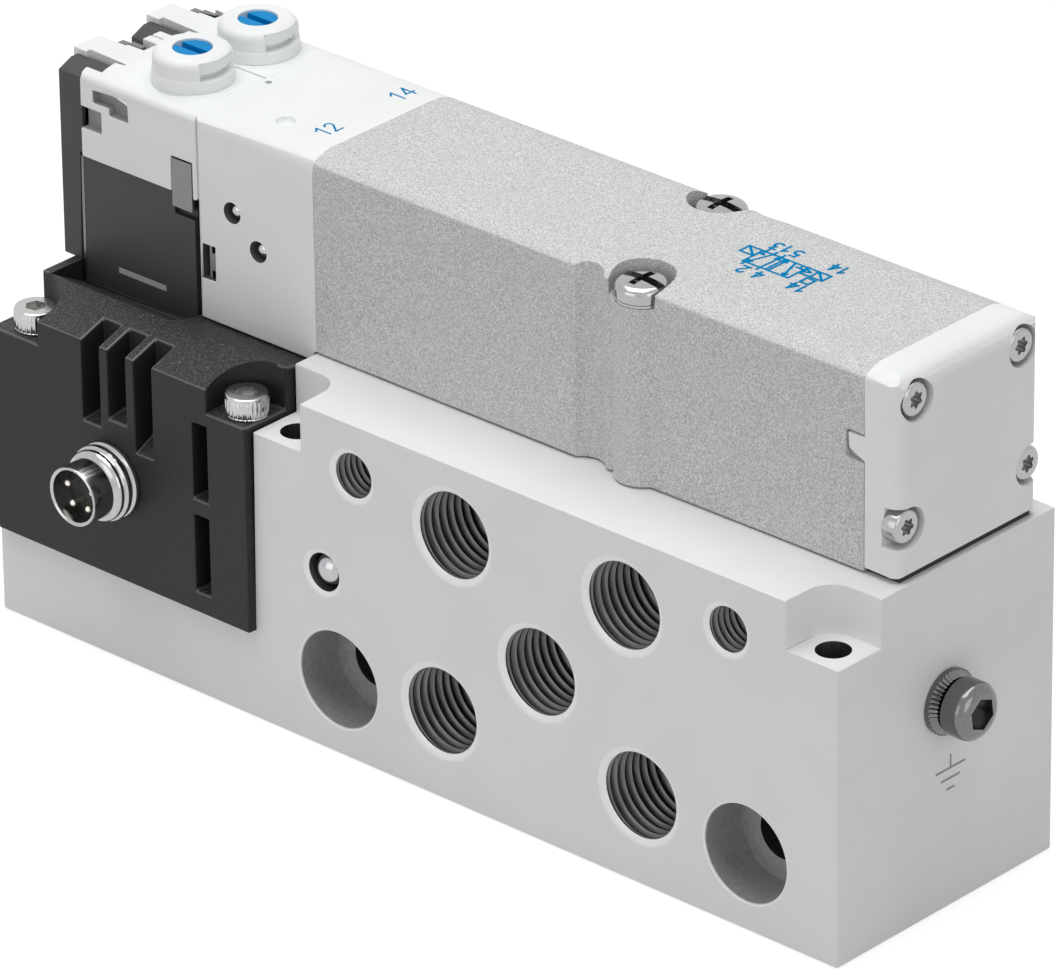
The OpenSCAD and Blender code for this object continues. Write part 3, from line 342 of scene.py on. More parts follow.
# %% Finish the CAD nodes
slot_of = {row["node"]: row["material_slot"] for row in frame["record"]["subparts"]}
body_of = {name: body for body, names in frame["record"]["behaviour"]["bodies"].items()
           for name in names}
for name, node in nodes.items():
    node.data.materials.clear()
    node.data.materials.append(finishes[slot_of[name]])
print("finished nodes:", len(nodes))

# %% [markdown]
# Rounded edges.
# Real moulded and machined edges catch the light because they are never quite sharp.
# The CAD solids have true but sharp edges. A copy of the mesh is merged, its flat faces
# are joined, and the edges that bend more than a set angle get a narrow bevel. A Bevel
# modifier could do the same. The operator is used because it also tells which faces are
# new, so that they can have a finish of their own.

# %% Merge a CAD copy and bevel its edges
def merged_copy(name):
    """A bmesh of a CAD node with its loose triangles joined up."""
    bm = bmesh.new()
    bm.from_mesh(nodes[name].data)
    bmesh.ops.remove_doubles(bm, verts=bm.verts, dist=1e-6)
    bmesh.ops.dissolve_limit(bm, angle_limit=math.radians(0.6), use_dissolve_boundaries=False,
                             verts=bm.verts, edges=bm.edges, delimit={"NORMAL"})
    return bm


def bevel_edges(bm, width_mm, segments, bend_deg, pick, mark=None):
    """Bevels the edges that bend enough and that pick accepts, and counts them.

    New faces that mark accepts take the piece's second finish.
    """
    chosen = [e for e in bm.edges if e.is_manifold
              and e.calc_face_angle(0) > math.radians(bend_deg) and pick(e)]
    made = bmesh.ops.bevel(bm, geom=chosen, offset=width_mm * MM, offset_type="OFFSET",
                           segments=segments, profile=0.5, affect="EDGES", material=-1,
                           clamp_overlap=False)
    if mark:
        for face in made["faces"]:
            face.normal_update()
            face.material_index = int(mark(face))
    return len(chosen)


print("bevel helpers ready")

# %% [markdown]
# From a mesh to a piece.
# Every piece rides on one of the bodies of the valve and takes the finish of a material
# slot. It is shaded smooth apart from the edges that bend more than sharp_deg. On bevelled
# pieces a weighted normal modifier keeps the big flat faces flat. Turned pieces don't
# need it. A piece that is a finer copy of a CAD node replaces that node.

# %% Make a piece
def add_piece(bm, name, body, slot, replaced=(), sharp_deg=32, material=None, others=(),
              even=True):
    """Makes the bmesh an object. The finish is the slot's own, or material's instead."""
    for face in bm.faces:
        face.smooth = True
    for edge in bm.edges:
        edge.smooth = not (edge.is_manifold and edge.calc_face_angle(0) > math.radians(sharp_deg))
    mesh = bpy.data.meshes.new(name)
    bm.to_mesh(mesh)
    bm.free()
    piece = bpy.data.objects.new(name, mesh)
    bpy.context.scene.collection.objects.link(piece)
    mesh.materials.append(finishes[material or slot])
    for other in others:
        mesh.materials.append(finishes[other])
    if even:
        weighted = piece.modifiers.new("even_normals", "WEIGHTED_NORMAL")
        weighted.keep_sharp = True
    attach(piece, body)
    if replaced:
        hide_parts(*replaced)


print("piece helper ready")

# %% [markdown]
# The bores of the sub-base.
# The block is an aluminium bar that is milled all over. A real port is drilled to the
# thread's crest and then tapped. Cutting a helix out of the block with a Boolean would
# be slow and heavy. Instead the plain wall of each threaded port is cut free at the
# countersink and moved out to the thread's root, and a spiral is set into it later.

# %% Threaded ports: where they are and how wide
PORT_FACE_Y = -20.0
G_PORTS = [(8.5, 37.2), (36.5, 37.2), (22.5, 23.2), (6.0, 12.0), (39.0, 12.0)]
M_PORTS = [(-8.3, 39.8), (53.3, 39.8)]
G_THREAD = {"crest": 5.75, "root": 6.52, "lip": 0.52, "pitch": 1.337, "depth": 15.0}
M_THREAD = {"crest": 3.0, "root": 3.5, "lip": 0.433, "pitch": 1.0, "depth": 11.0}
ROOT_GAP = 0.03


def open_bore(bm, x, z, thread):
    """Cuts a bore's wall free at the countersink and moves it out past the thread's root."""
    def radius(v):
        return math.hypot(v.co.x / MM - x, v.co.z / MM - z)

    def depth(v):
        return v.co.y / MM - PORT_FACE_Y

    def at_lip(e):
        return all(abs(radius(v) - thread["crest"]) < 0.04
                   and abs(depth(v) - thread["lip"]) < 0.05 for v in e.verts)

    bmesh.ops.split_edges(bm, edges=[e for e in bm.edges if at_lip(e)])
    wall = {v for f in bm.faces if abs(f.normal.y) < 0.1 for v in f.verts
            if abs(radius(v) - thread["crest"]) < 0.04
            and thread["lip"] - 0.05 < depth(v) < thread["depth"] + 0.1}
    lips = [e for e in bm.edges if e.is_boundary and at_lip(e)]
    for v in wall:
        out = Vector((v.co.x / MM - x, v.co.z / MM - z)).normalized() * (thread["root"] + ROOT_GAP)
        v.co.x, v.co.z = (x + out.x) * MM, (z + out.y) * MM
    bmesh.ops.bridge_loops(bm, edges=lips)
    return len(wall)


bm = merged_copy("sub_base")
print("bore vertices moved:", sum(
    [open_bore(bm, x, z, G_THREAD) for x, z in G_PORTS]
    + [open_bore(bm, x, z, M_THREAD) for x, z in M_PORTS]))

# %% [markdown]
# The edges of the sub-base.
# After milling, the long outer edges and the rims of the two screw pockets are broken
# with a deburring tool. Only those are bevelled. The edges inside the bores can hardly be
# seen, and each one would cost faces.

# %% Break the outer edges and the pocket rims
SCREW_POCKETS = [(-11.3, 10.4), (56.3, 10.4)]
POCKET_RADIUS = 6.55


def nearest(places, a, b):
    """Distance in mm from a point to the nearest of some places."""
    return min(math.hypot(a - pa, b - pb) for pa, pb in places)


def pocket_rim(edge):
    """True for the edge where a screw's pocket meets the port face."""
    return all(abs(v.co.y / MM - PORT_FACE_Y) < 0.01
               and abs(nearest(SCREW_POCKETS, v.co.x / MM, v.co.z / MM) - POCKET_RADIUS) < 0.06
               for v in edge.verts)


def flat_outside(edge):
    """True for an edge between two large flat faces of the block."""
    return all(max(map(abs, f.normal)) > 0.999 and f.calc_area() > 18 * MM * MM
               for f in edge.link_faces) and edge.calc_length() > 1.5 * MM


print("block edges bevelled:", bevel_edges(bm, 0.22, 2, 60, flat_outside))
print("pocket rims bevelled:", bevel_edges(bm, 0.28, 2, 60, pocket_rim))
bmesh.ops.recalc_face_normals(bm, faces=bm.faces)

# %% [markdown]
# Four finishes on one block.
# The block is anodised outside. The bores get painted shade, a dark cut metal. Their
# countersinks are freshly cut and shine, and the flat-bottomed screw pockets get a painted
# shade between the two. A face's place and the way that it looks say which it is, so a
# small function gives each face its number.

# %% Give each face of the block its finish
BALL_BORE = (-13.7, 24.6)
SHELF_HOLES = [(-21.1, -16.1), (66.9, -16.1)]


def block_finish(face):
    """0 anodised outside, 1 bored walls with painted shade, 2 bright countersinks, 3 the screw
    pockets with painted shade.
    """
    x, y, z = (c / MM for c in face.calc_center_median())
    facing = abs(face.normal.y)
    rims = G_PORTS + M_PORTS + SCREW_POCKETS + [BALL_BORE]
    if y < -19.2 and 0.2 < facing < 0.98 and nearest(rims, x, z) < 7.3:
        return 2
    outside = abs(x) > 70.7 or abs(y) > 19.45 or z < 0.3 or z > 46.7
    in_bay = x < -25 and z > 12.2
    on_shelf = z > 40.2 and y < -12 and (x < -16.7 or x > 62.6)
    in_screw_hole = abs(face.normal.z) < 0.5 and nearest(SHELF_HOLES, x, y) < 2.3
    if outside or in_bay or (on_shelf and not in_screw_hole):
        return 0
    reach = nearest(SCREW_POCKETS, x, z)
    return 3 if reach < 6.7 and (facing > 0.9 or reach > 4.5) and y < -12.9 else 1


for face in bm.faces:
    face.material_index = block_finish(face)
counts = [sum(face.material_index == i for face in bm.faces) for i in range(4)]
add_piece(bm, "port_block", "valve", "anodised_block", ["sub_base"],
          others=("bored_metal", "bright_rim", "milled_pocket"))
print("block faces by finish:", counts)

# %% [markdown]
# The pipe threads.
# A tap leaves a helix. Its section over one pitch is a short polyline, from root to crest
# and back, and a spin that also moves along the axis sweeps it into a helix. Everything
# before the countersink's lip is pressed flat there and deleted, so that the thread starts
# as it does in a real port.

# %% Threads by a rising spin
def thread_spiral(x, z, thread, steps=56):
    """The thread of one port, with steps faces to a turn."""
    bm = bmesh.new()
    pitch, root, crest = thread["pitch"], thread["root"], thread["crest"]
    section = [(root, 0.0), (crest, 0.40), (crest, 0.60), (root, 1.0)]
    start = PORT_FACE_Y - pitch
    verts = [bm.verts.new(((x + r) * MM, (start + k * pitch) * MM, z * MM)) for r, k in section]
    edges = [bm.edges.new(pair) for pair in zip(verts, verts[1:])]
    turns = int((thread["depth"] - 0.6) / pitch) + 1
    bmesh.ops.spin(bm, geom=verts + edges, cent=(x * MM, 0, z * MM), axis=(0, 1, 0),
                   angle=turns * math.tau, steps=turns * steps,
                   dvec=(0, pitch / steps * MM, 0))
    first = PORT_FACE_Y + thread["lip"] + 0.02
    for v in bm.verts:
        v.co.y = max(first * MM, v.co.y)
    hidden = [f for f in bm.faces if all(v.co.y < (first + 1e-4) * MM for v in f.verts)]
    bmesh.ops.delete(bm, geom=hidden, context="FACES")
    bmesh.ops.remove_doubles(bm, verts=bm.verts, dist=2e-6)
    bmesh.ops.recalc_face_normals(bm, faces=bm.faces)
    middle = min(bm.faces, key=lambda f: abs(f.calc_center_median().y / MM - PORT_FACE_Y - 5))
    centre = middle.calc_center_median()
    if middle.normal.dot(Vector((x * MM, centre.y, z * MM)) - centre) < 0:
        bmesh.ops.reverse_faces(bm, faces=bm.faces)
    return bm


# The threads take the bores' painted shade.
for number, (x, z) in enumerate(G_PORTS, 1):
    add_piece(thread_spiral(x, z, G_THREAD), f"pipe_thread_{number}", "valve",
              "anodised_block", sharp_deg=38, material="bored_metal", even=False)
for number, (x, z) in enumerate(M_PORTS, 1):
    add_piece(thread_spiral(x, z, M_THREAD, 40), f"pilot_thread_{number}", "valve",
              "anodised_block", sharp_deg=38, material="bored_metal", even=False)
print("threads cut:", len(G_PORTS) + len(M_PORTS))

# %% [markdown]
# Moulded and cast shells.
# The same recipe serves all of them: merge the CAD copy, bevel the edges that bend
# sharply, shade it smooth with the remaining sharp edges marked. The width follows the
# process. The casting, the cap and the black housing have 0.2 to 0.3 mm, the white pilot
# parts a little less. Very short edges are passed over, because a bevel would fold there.

# %% Soft edges for castings and mouldings
def soften(node, name, width_mm, bend_deg=42, shortest=0.8, wide=None, second=None,
           inside=None, mark=None):
    """Replaces a CAD node by a copy with narrow bevels on its sharp edges.

    wide is (width, pick) for edges with a bigger radius. The second finish goes to the
    faces that inside accepts and to the new bevels that mark accepts.
    """
    bm = merged_copy(node)
    if wide:
        bevel_edges(bm, wide[0], 5, 25, wide[1])
    count = bevel_edges(bm, width_mm, 2, bend_deg,
                        lambda e: e.calc_length() > shortest * MM, mark)
    if inside:
        for face in bm.faces:
            face.material_index = int(inside(face))
    add_piece(bm, name, body_of[node], slot_of[node], [node], others=[second] if second else [])
    return count


FRONT_Y, REAR_Y = -8.6, 17.4


def shoulder(edge):
    """True for the long edge where a crowned top turns down to the front or rear face."""
    a, b = (v.co / MM for v in edge.verts)
    on_side = all(min(abs(p.y - FRONT_Y), abs(p.y - REAR_Y)) < 0.15 and p.z > 70 for p in (a, b))
    return on_side and abs(a.x - b.x) > 1


print("body edges:", soften("valve_body", "cast_valve_body", 0.22))
print("cap edges:", soften("end_cap", "white_end_cap", 0.28, wide=(0.5, shoulder)))

# %% [markdown]
# The pilot block.
# Two holes closed by steel balls and a narrow window lie in its front. They are so small
# that soft studio light washes them out. Their walls get painted shade, a dark grey
# plastic, so that they read as hollows from every side.

# %% The white pilot block
PILOT_X = -45.2
BALL_PLACES = [(PILOT_X + 6.2, 62.1), (PILOT_X + 10.6, 58.1)]


def in_pilot_hollow(face):
    """True inside the two ball holes and the latch window of the white block."""
    x, y, z = (c / MM for c in face.calc_center_median())
    in_window = PILOT_X + 0.6 < x < PILOT_X + 3.1 and 51.4 < z < 56.4
    return FRONT_Y + 0.3 < y < FRONT_Y + 3.4 and (nearest(BALL_PLACES, x, z) < 1.5 or in_window)


# The walls of the hollows get painted shade.
print("pilot edges:", soften("pilot_block", "white_pilot_block", 0.16, wide=(1.2, shoulder),
                             second="shaded_plastic", inside=in_pilot_hollow))

# %% [markdown]
# The black plug housing.
# Its upper edges get a painted highlight: thin grey lines, lighter and glossier than the
# grain. The bevel tells which faces are new, and those that look up get the painted highlight.

# %% The plug housing
# The new bevels that look up get the painted highlight.
print("housing edges:", soften("plug_housing", "black_plug_housing", 0.25,
                               second="rubbed_edge", mark=lambda f: f.normal.z > 0.35))

# %% [markdown]
# The two solenoid heads.
# They are white mouldings with a crowned top. The front one has two shallow recesses at
# its outer end, whose walls get painted shade, a mid grey plastic, like the pilot block's hollows.

# %% The two solenoid heads
HEAD_TOP = max(v.co.z for v in nodes["head_12"].data.vertices) / MM


def in_side_recess(face):
    """True in the shallow recesses at the outer end of the front head's side."""
    x, y, z = (c / MM for c in face.calc_center_median())
    return (x < PILOT_X - 11.7 and FRONT_Y + 0.3 < y < FRONT_Y + 1.4
            and HEAD_TOP - 8.5 < z < HEAD_TOP - 2.5)


# The front head's recesses get painted shade.
print("front head edges:", soften("head_12", "solenoid_head_12", 0.18, wide=(0.55, shoulder),
                                  second="recess_plastic", inside=in_side_recess))
print("rear head edges:", soften("head_14", "solenoid_head_14", 0.18, wide=(0.55, shoulder)))

# %% [markdown]
# The two solenoid units.
# Both are built alike, so one loop dresses them. Bent sheet steel has the narrowest edges
# and moulded plastic wider ones. The collars and buttons are round, and their edges are
# made of short pieces, so there the limit for short edges is lower.

# %% Coils, frames, clips, collars and buttons
FLAT_SIDED = [("coil_", "solenoid_coil_", 0.15), ("yoke_", "coil_frame_", 0.08),
              ("coil_plug_", "terminal_cover_", 0.2), ("side_clip_", "coil_clip_", 0.08),
              ("top_clip_", "lead_clip_", 0.08)]
ROUND = [("turret_", "button_collar_", 0.3), ("button_", "override_button_", 0.2)]
for n in ("12", "14"):
    for node, name, width in FLAT_SIDED:
        print(name + n, "edges:", soften(node + n, name + n, width))
    for node, name, shortest in ROUND:
        print(name + n, "edges:", soften(node + n, name + n, 0.12, 50, shortest))

# %% [markdown]
# Turned parts.
# Screws and the plug's shell are lathe work. The helper takes a half section as radius
# and height and spins it once round the axis, which is what a lathe does. The part is
# then turned to look along its real axis and moved to its seat. Parts that make up one
# CAD node are joined in one mesh, because one piece replaces that node.

# %% A lathe and the way to a seat
def lathe(profile, steps):
    """Spins (radius, height) points in mm round the Z axis."""
    bm = bmesh.new()
    verts = [bm.verts.new((r * MM, 0, h * MM)) for r, h in profile]
    edges = [bm.edges.new(pair) for pair in zip(verts, verts[1:])]
    bmesh.ops.spin(bm, geom=verts + edges, cent=(0, 0, 0), axis=(0, 0, 1),
                   angle=math.tau, steps=steps, use_merge=True)
    bmesh.ops.remove_doubles(bm, verts=bm.verts, dist=1e-7)
    return bm


def soft_corner(r, h, radius, steps=5):
    """Arc from a cylinder's side at height h - radius to its top at r - radius."""
    return [(r - radius + radius * math.cos(a), h - radius + radius * math.sin(a))
            for a in (math.pi / 2 * i / steps for i in range(steps + 1))]


def seat(bm, place_mm, axis=(0, 0, 1), spin_deg=0.0):
    """Turns a +Z piece along axis and moves it to its place."""
    turn = Vector((0, 0, 1)).rotation_difference(Vector(axis)).to_matrix()
    bm.transform((turn @ Matrix.Rotation(math.radians(spin_deg), 3, "Z")).to_4x4())
    bmesh.ops.translate(bm, verts=bm.verts, vec=Vector(place_mm) * MM)
    return bm


def join_all(parts):
    """Puts several bmeshes into one."""
    whole = bmesh.new()
    for part in parts:
        mesh = bpy.data.meshes.new("part")
        part.to_mesh(mesh)
        part.free()
        whole.from_mesh(mesh)
        bpy.data.meshes.remove(mesh)
    return whole


print("lathe ready")

# %% [markdown]
# Drive recesses.
# A screw's section leaves a hole in the top of its head. The hole's rim is extruded and
# drawn in to the outline of the drive, then extruded once more, pushed down and closed.
# So the recess needs no Boolean, and its outline is only a function that gives a radius
# for each angle.

# %% Hexagon and lobed recesses
def grow_loop(bm, loop):
    """Extrudes a loop of edges and gives back the new corners and edges."""
    made = bmesh.ops.extrude_edge_only(bm, edges=loop)["geom"]
    ring = [g for g in made if isinstance(g, bmesh.types.BMVert)]
    return ring, [g for g in made if isinstance(g, bmesh.types.BMEdge)
                  and all(v in ring for v in g.verts)]


def sink_recess(bm, radius_at, top_mm, depth_mm):
    """Draws the open rim at the top in to an outline and sinks that outline."""
    rim = [e for e in bm.edges if e.is_boundary
           and all(abs(v.co.z - top_mm * MM) < 1e-6 for v in e.verts)]
    ring, loop = grow_loop(bm, rim)
    for v in ring:
        v.co.xy = v.co.xy.normalized() * radius_at(math.atan2(v.co.y, v.co.x)) * MM
    low_ring, low_loop = grow_loop(bm, loop)
    bmesh.ops.translate(bm, verts=low_ring, vec=(0, 0, -depth_mm * MM))
    bmesh.ops.contextual_create(bm, geom=low_loop)
    bmesh.ops.recalc_face_normals(bm, faces=bm.faces)


def hexagon(radius):
    """Radius of a hexagon, as a function of the angle."""
    apothem = radius * math.cos(math.pi / 6)
    return lambda angle: apothem / math.cos(angle % (math.pi / 3) - math.pi / 6)


def six_lobes(radius, lobe):
    """Radius of a six-lobed drive, as a function of the angle."""
    return lambda angle: radius * (1 + lobe * math.cos(6 * angle))


print("recess helpers ready")

# %% [markdown]
# The housing screws.
# They are socket head cap screws. The rim of the head is knurled, so that fingers can turn
# it. The head is spun in six steps to a groove, and the corners of the rim are then drawn
# in along a cosine, which gives round ridges with no extra geometry.

# %% Knurled housing screws
GROOVES = 30
GROOVE_DEPTH = 0.12


def knurled_screw():
    """A cap screw with a knurled rim and a hexagon socket."""
    profile = ([(0, -21), (1.5, -21), (1.5, 0), (2.7, 0), (2.82, 0.1), (2.82, 0.24), (2.74, 0.3),
                (2.88, 0.42), (2.88, 2.35), (2.74, 2.52)]
               + soft_corner(2.8, 3.0, 0.32)[1:] + [(2.2, 3.0)])
    bm = lathe(profile, GROOVES * 6)
    for v in bm.verts:
        r, h = Vector(v.co.xy).length / MM, v.co.z / MM
        if r > 2.85 and 0.35 < h < 2.4:
            groove = 0.5 - 0.5 * math.cos(GROOVES * math.atan2(v.co.y, v.co.x))
            v.co.xy *= (r - GROOVE_DEPTH * groove) / r
    sink_recess(bm, hexagon(1.44), 3.0, 1.0)
    return bm


SCREW_Y, SCREW_SEAT_Z = -17.7, 41.2
screws = [seat(knurled_screw(), (x, SCREW_Y, SCREW_SEAT_Z), spin_deg=turned)
          for x, turned in ((-65.4, 12), (-28.3, 38))]
print("housing screws:", len(screws))
add_piece(join_all(screws), "knurled_screws", "valve", "plated_steel", ["housing_screws"],
          sharp_deg=40, even=False)

# %% [markdown]
# The end cap's screws.
# They are small pan heads with a six-lobed drive. No two screws stop at the same angle
# when they are tightened, so each one is turned a little further than the one before.

# %% Lobed screws of the end cap
def lobed_screw():
    """A small pan head with a six-lobed drive."""
    profile = ([(0, -10), (1.25, -10), (1.25, 0), (2.2, 0), (2.25, 0.05)]
               + soft_corner(2.25, 2.2, 0.45) + [(1.5, 2.2)])
    bm = lathe(profile, 60)
    sink_recess(bm, six_lobes(1.0, 0.17), 2.2, 0.9)
    return bm


CAP_SEAT_X = 68.1
CAP_MIDDLE_Y, CAP_MIDDLE_Z = 4.4, 47.3
cap_places = [(CAP_MIDDLE_Y + side * dy, CAP_MIDDLE_Z + dz) for side in (-1, 1)
              for dy, dz in ((9.65, 23.3), (11.1, 7.0))]
add_piece(join_all([seat(lobed_screw(), (CAP_SEAT_X, y, z), (1, 0, 0), 17 * i)
                    for i, (y, z) in enumerate(cap_places)]),
          "lobed_cap_screws", "valve", "plated_steel", ["end_cap_screws"], sharp_deg=40,
          material="screw_steel", even=False)
print("cap screws:", len(cap_places))

# %% [markdown]
# The earth point.
# A rounded socket screw holds the earth wire down on a serrated lock washer, whose teeth
# bite through the anodising. The teeth are modelled as the knurl was: the washer is
# spun in four steps to a tooth, and every other step sinks.

# %% Earth screw and its toothed washer
BLOCK_END_X = 71.0
EARTH_Z = 28.6
profile = ([(0, -11), (2.5, -11), (2.5, 0.9), (3.65, 0.9), (3.8, 1.05), (3.8, 2.9)]
           + soft_corner(3.8, 4.5, 1.5, 8)[1:] + [(2.3, 4.5)])
bm = lathe(profile, 72)
sink_recess(bm, hexagon(2.2), 4.5, 1.7)
add_piece(seat(bm, (72.1, 0, EARTH_Z), (1, 0, 0), 8), "earth_screw_domed", "valve",
          "plated_steel", ["earth_screw"], sharp_deg=40, material="dark_steel", even=False)


def toothed_washer(teeth=40):
    """A serrated lock washer: a rim with a coned front that is cut into fine teeth."""
    bm = lathe([(2.6, 0.0), (4.18, 0.0), (4.28, 0.1), (4.28, 0.75), (4.2, 0.9), (3.86, 1.25),
                (3.5, 1.6), (2.6, 1.6), (2.6, 0.0)], teeth * 4)
    for v in bm.verts:
        r, h = Vector(v.co.xy).length / MM, v.co.z / MM
        if r > 3.4 and h > 0.8:
            phase = (math.atan2(v.co.y, v.co.x) / math.tau * teeth) % 1
            v.co.z -= 0.3 * abs(2 * phase - 1) * MM
            v.co.xy *= 1 - 0.03 * abs(2 * phase - 1)
    bmesh.ops.recalc_face_normals(bm, faces=bm.faces)
    return bm


add_piece(seat(toothed_washer(), (BLOCK_END_X, 0, EARTH_Z), (1, 0, 0)), "toothed_washer", "valve",
          "plated_steel", ["earth_washer"], sharp_deg=25, material="dark_steel", even=False)
print("earth point dressed")

# %% [markdown]
# The body's screws.
# Two long screws with domed heads hold the valve on its block. Their drive fits a flat or
# a cross screwdriver. A slot that runs out on both sides has no closed outline that could
# be sunk, so here a Boolean modifier cuts three boxes out of the turned head. The result
# is read back into a bmesh, and the finished piece has no modifier.

# %% Slotted cross screws of the body
def carve(bm, boxes):
    """Cuts boxes, given by two corners in mm, out of a closed mesh."""
    cutter = bmesh.new()
    for low, high in boxes:
        low, high = Vector(low) * MM, Vector(high) * MM
        stretch = Matrix.LocRotScale((low + high) / 2, None, high - low)
        bmesh.ops.create_cube(cutter, size=1.0, matrix=stretch)
    pair = []
    for source in (bm, cutter):
        mesh = bpy.data.meshes.new("carving")
        source.to_mesh(mesh)
        source.free()
        pair.append(bpy.data.objects.new("carving", mesh))
        bpy.context.scene.collection.objects.link(pair[-1])
    cut = pair[0].modifiers.new("cut", "BOOLEAN")
    cut.object = pair[1]
    cut.operation, cut.solver, cut.use_self = "DIFFERENCE", "EXACT", True
    bpy.context.view_layer.update()
    carved = bmesh.new()
    carved.from_object(pair[0], bpy.context.evaluated_depsgraph_get())
    for thing in pair:
        bpy.data.objects.remove(thing)
    bmesh.ops.remove_doubles(carved, verts=carved.verts, dist=1e-6)
    return carved


def slotted_screw():
    """A round head with a slot right across and a short cross recess in it.

    The boxes end at different heights above the head, so that no two faces coincide.
    """
    profile = ([(0, -33.1), (2, -33.1), (2, 0), (3.4, 0), (3.5, 0.1), (3.5, 0.4), (3.36, 0.48),
                (3.36, 0.6), (3.5, 0.68), (3.5, 1.5)]
               + soft_corner(3.5, 2.5, 1.0, 8)[1:] + [(1.7, 2.61), (0.9, 2.68), (0, 2.7)])
    slot = ((-4, -0.65, 1.5), (4, 0.65, 4))
    arms = [((-2.0, -0.48, 0.9), (2.0, 0.48, 3.8)), ((-0.48, -2.0, 0.9), (0.48, 2.0, 3.9))]
    return carve(lathe(profile, 72), [slot, *arms])


HEAD_HEIGHT = 2.7
BODY_SCREWS = [(28.1, -6.6), (21.2, 15.4)]
seat_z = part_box("valve_screws")[1][2] / MM - HEAD_HEIGHT
add_piece(join_all([seat(slotted_screw(), (x, y, seat_z)) for x, y in BODY_SCREWS]),
          "slotted_cross_screws", "valve", "plated_steel", ["valve_screws"],
          sharp_deg=35, material="screw_steel", even=False)
print("valve screws:", len(BODY_SCREWS))

# %% [markdown]
# The round plug.
# Its shell is a thin chromed tube with a ridged collar behind it, which a lathe cuts in
# one go. So the section is written out once, from the inner end round to the inner end,
# and spun. The four contact pins are turned too, with round tips.

# %% Connector shell and pins
PLUG_X, PLUG_Z, PLUG_FACE_Y = -49.1, 26.5, -21.3
PIN_START_Y = PLUG_FACE_Y - 6.0
shell = [(3.5, -6), (4.6, -6), (4.6, 0), (4.95, 0), (5.08, 0.12), (5.14, 0.4), (5.08, 0.7),
         (4.72, 1.0), (4.72, 1.12), (5.04, 1.36), (5.12, 1.7), (5.04, 2.02), (4.66, 2.26),
         (4.62, 2.36), (4.78, 2.52), (4.8, 2.8), (4.72, 3.1), (4.5, 3.35), (4.2, 3.5),
         (4.02, 3.7), (4.0, 4.0), (4.0, 6.85), (3.95, 7.02), (3.8, 7.1), (3.65, 7.05),
         (3.52, 6.9), (3.5, 6.7), (3.5, -6)]
add_piece(seat(lathe(shell, 96), (PLUG_X, PLUG_FACE_Y, PLUG_Z), (0, -1, 0)), "plug_shell",
          "valve", slot_of["connector_shell"], ["connector_shell"], sharp_deg=35, even=False)
pin = [(0, 0), (0.2, 0.05), (0.36, 0.15), (0.46, 0.3), (0.5, 0.5), (0.5, 12.0), (0, 12.0)]
pin_places = [(-2.17, 0.75), (2.17, 0.75), (-1.37, -1.8), (1.37, -1.8)]
add_piece(join_all([seat(lathe(pin, 24), (PLUG_X + dx, PIN_START_Y, PLUG_Z + dz), (0, 1, 0))
                    for dx, dz in pin_places]),
          "round_tipped_pins", "valve", "gold_contact", ["contact_pins"], even=False)
print("plug turned, pins:", len(pin_places))

# %% [markdown]
# Prints and marks.
# The white block carries the numbers of the two solenoids. The body carries the standard
# sign of a five-port, two-position valve. Both are thin blue prints. A sign is drawn as
# thin strokes: each one is a flat rectangle from point to point.

# %% Stroke helpers and a small set of digits
STROKE_LIFT = 0.0006


def strokes(lines, width_mm, normal, to_world):
    """Flat rectangles along 2-D lines in mm. to_world places a point, normal faces out.

    Each stroke lies a hair above the one before, so that crossings print cleanly.
    """
    bm = bmesh.new()
    half = width_mm / 2
    normal = Vector(normal)
    for i, ((x0, y0), (x1, y1)) in enumerate(lines):
        along = Vector((x1 - x0, y1 - y0)).normalized() * half
        side = Vector((-along.y, along.x))
        a, b = Vector((x0, y0)) - along, Vector((x1, y1)) + along
        face = bm.faces.new([bm.verts.new(to_world(p))
                             for p in (a - side, b - side, b + side, a + side)])
        bmesh.ops.translate(bm, verts=face.verts, vec=normal * STROKE_LIFT * (i + 1) * MM)
        face.normal_update()
        if face.normal.dot(normal) < 0:
            face.normal_flip()
    return bm


DIGITS = {
    "1": [(0.08, 0.74), (0.36, 1.0), (0.36, 0.0)],
    "2": [(0.02, 0.8), (0.12, 0.95), (0.28, 1.0), (0.44, 0.94), (0.5, 0.78), (0.44, 0.58),
          (0.0, 0.0), (0.54, 0.0)],
    "3": [(0.04, 1.0), (0.48, 1.0), (0.24, 0.6), (0.42, 0.56), (0.52, 0.4), (0.5, 0.18),
          (0.36, 0.02), (0.16, 0.0), (0.0, 0.08)],
    "4": [(0.4, 0.0), (0.4, 1.0), (0.0, 0.3), (0.58, 0.3)],
    "5": [(0.48, 1.0), (0.08, 1.0), (0.04, 0.56), (0.26, 0.62), (0.46, 0.5), (0.52, 0.3),
          (0.42, 0.08), (0.2, 0.0), (0.0, 0.06)],
}


def number_lines(number, height_mm, x=0.0, y=0.0):
    """Strokes of a number whose middle is at x, y."""
    step = 0.78 * height_mm
    left = x - step * len(number) / 2 + 0.1 * height_mm
    bottom = y - height_mm / 2
    lines = []
    for i, digit in enumerate(number):
        path = [(left + i * step + u * height_mm, bottom + v * height_mm)
                for u, v in DIGITS[digit]]
        lines += list(zip(path, path[1:]))
    return lines


UP, FRONT, RIGHT = (0, 0, 1), (0, -1, 0), (1, 0, 0)
BODY_TOP, INK = 74.3, 0.012
TOP_PRINT = BODY_TOP + INK
print("print helpers ready")

# %% [markdown]
# The numbers of the solenoids.
# 12 and 14 are the usual names of the two control ports of such a valve. They are printed
# beside the overrides, so that a hand finds the right one.

# %% The solenoid numbers
def number_at(x, y):
    """Reads along +Y with its top towards -X."""
    return lambda p: Vector((x - p[1], y + p[0], TOP_PRINT)) * MM


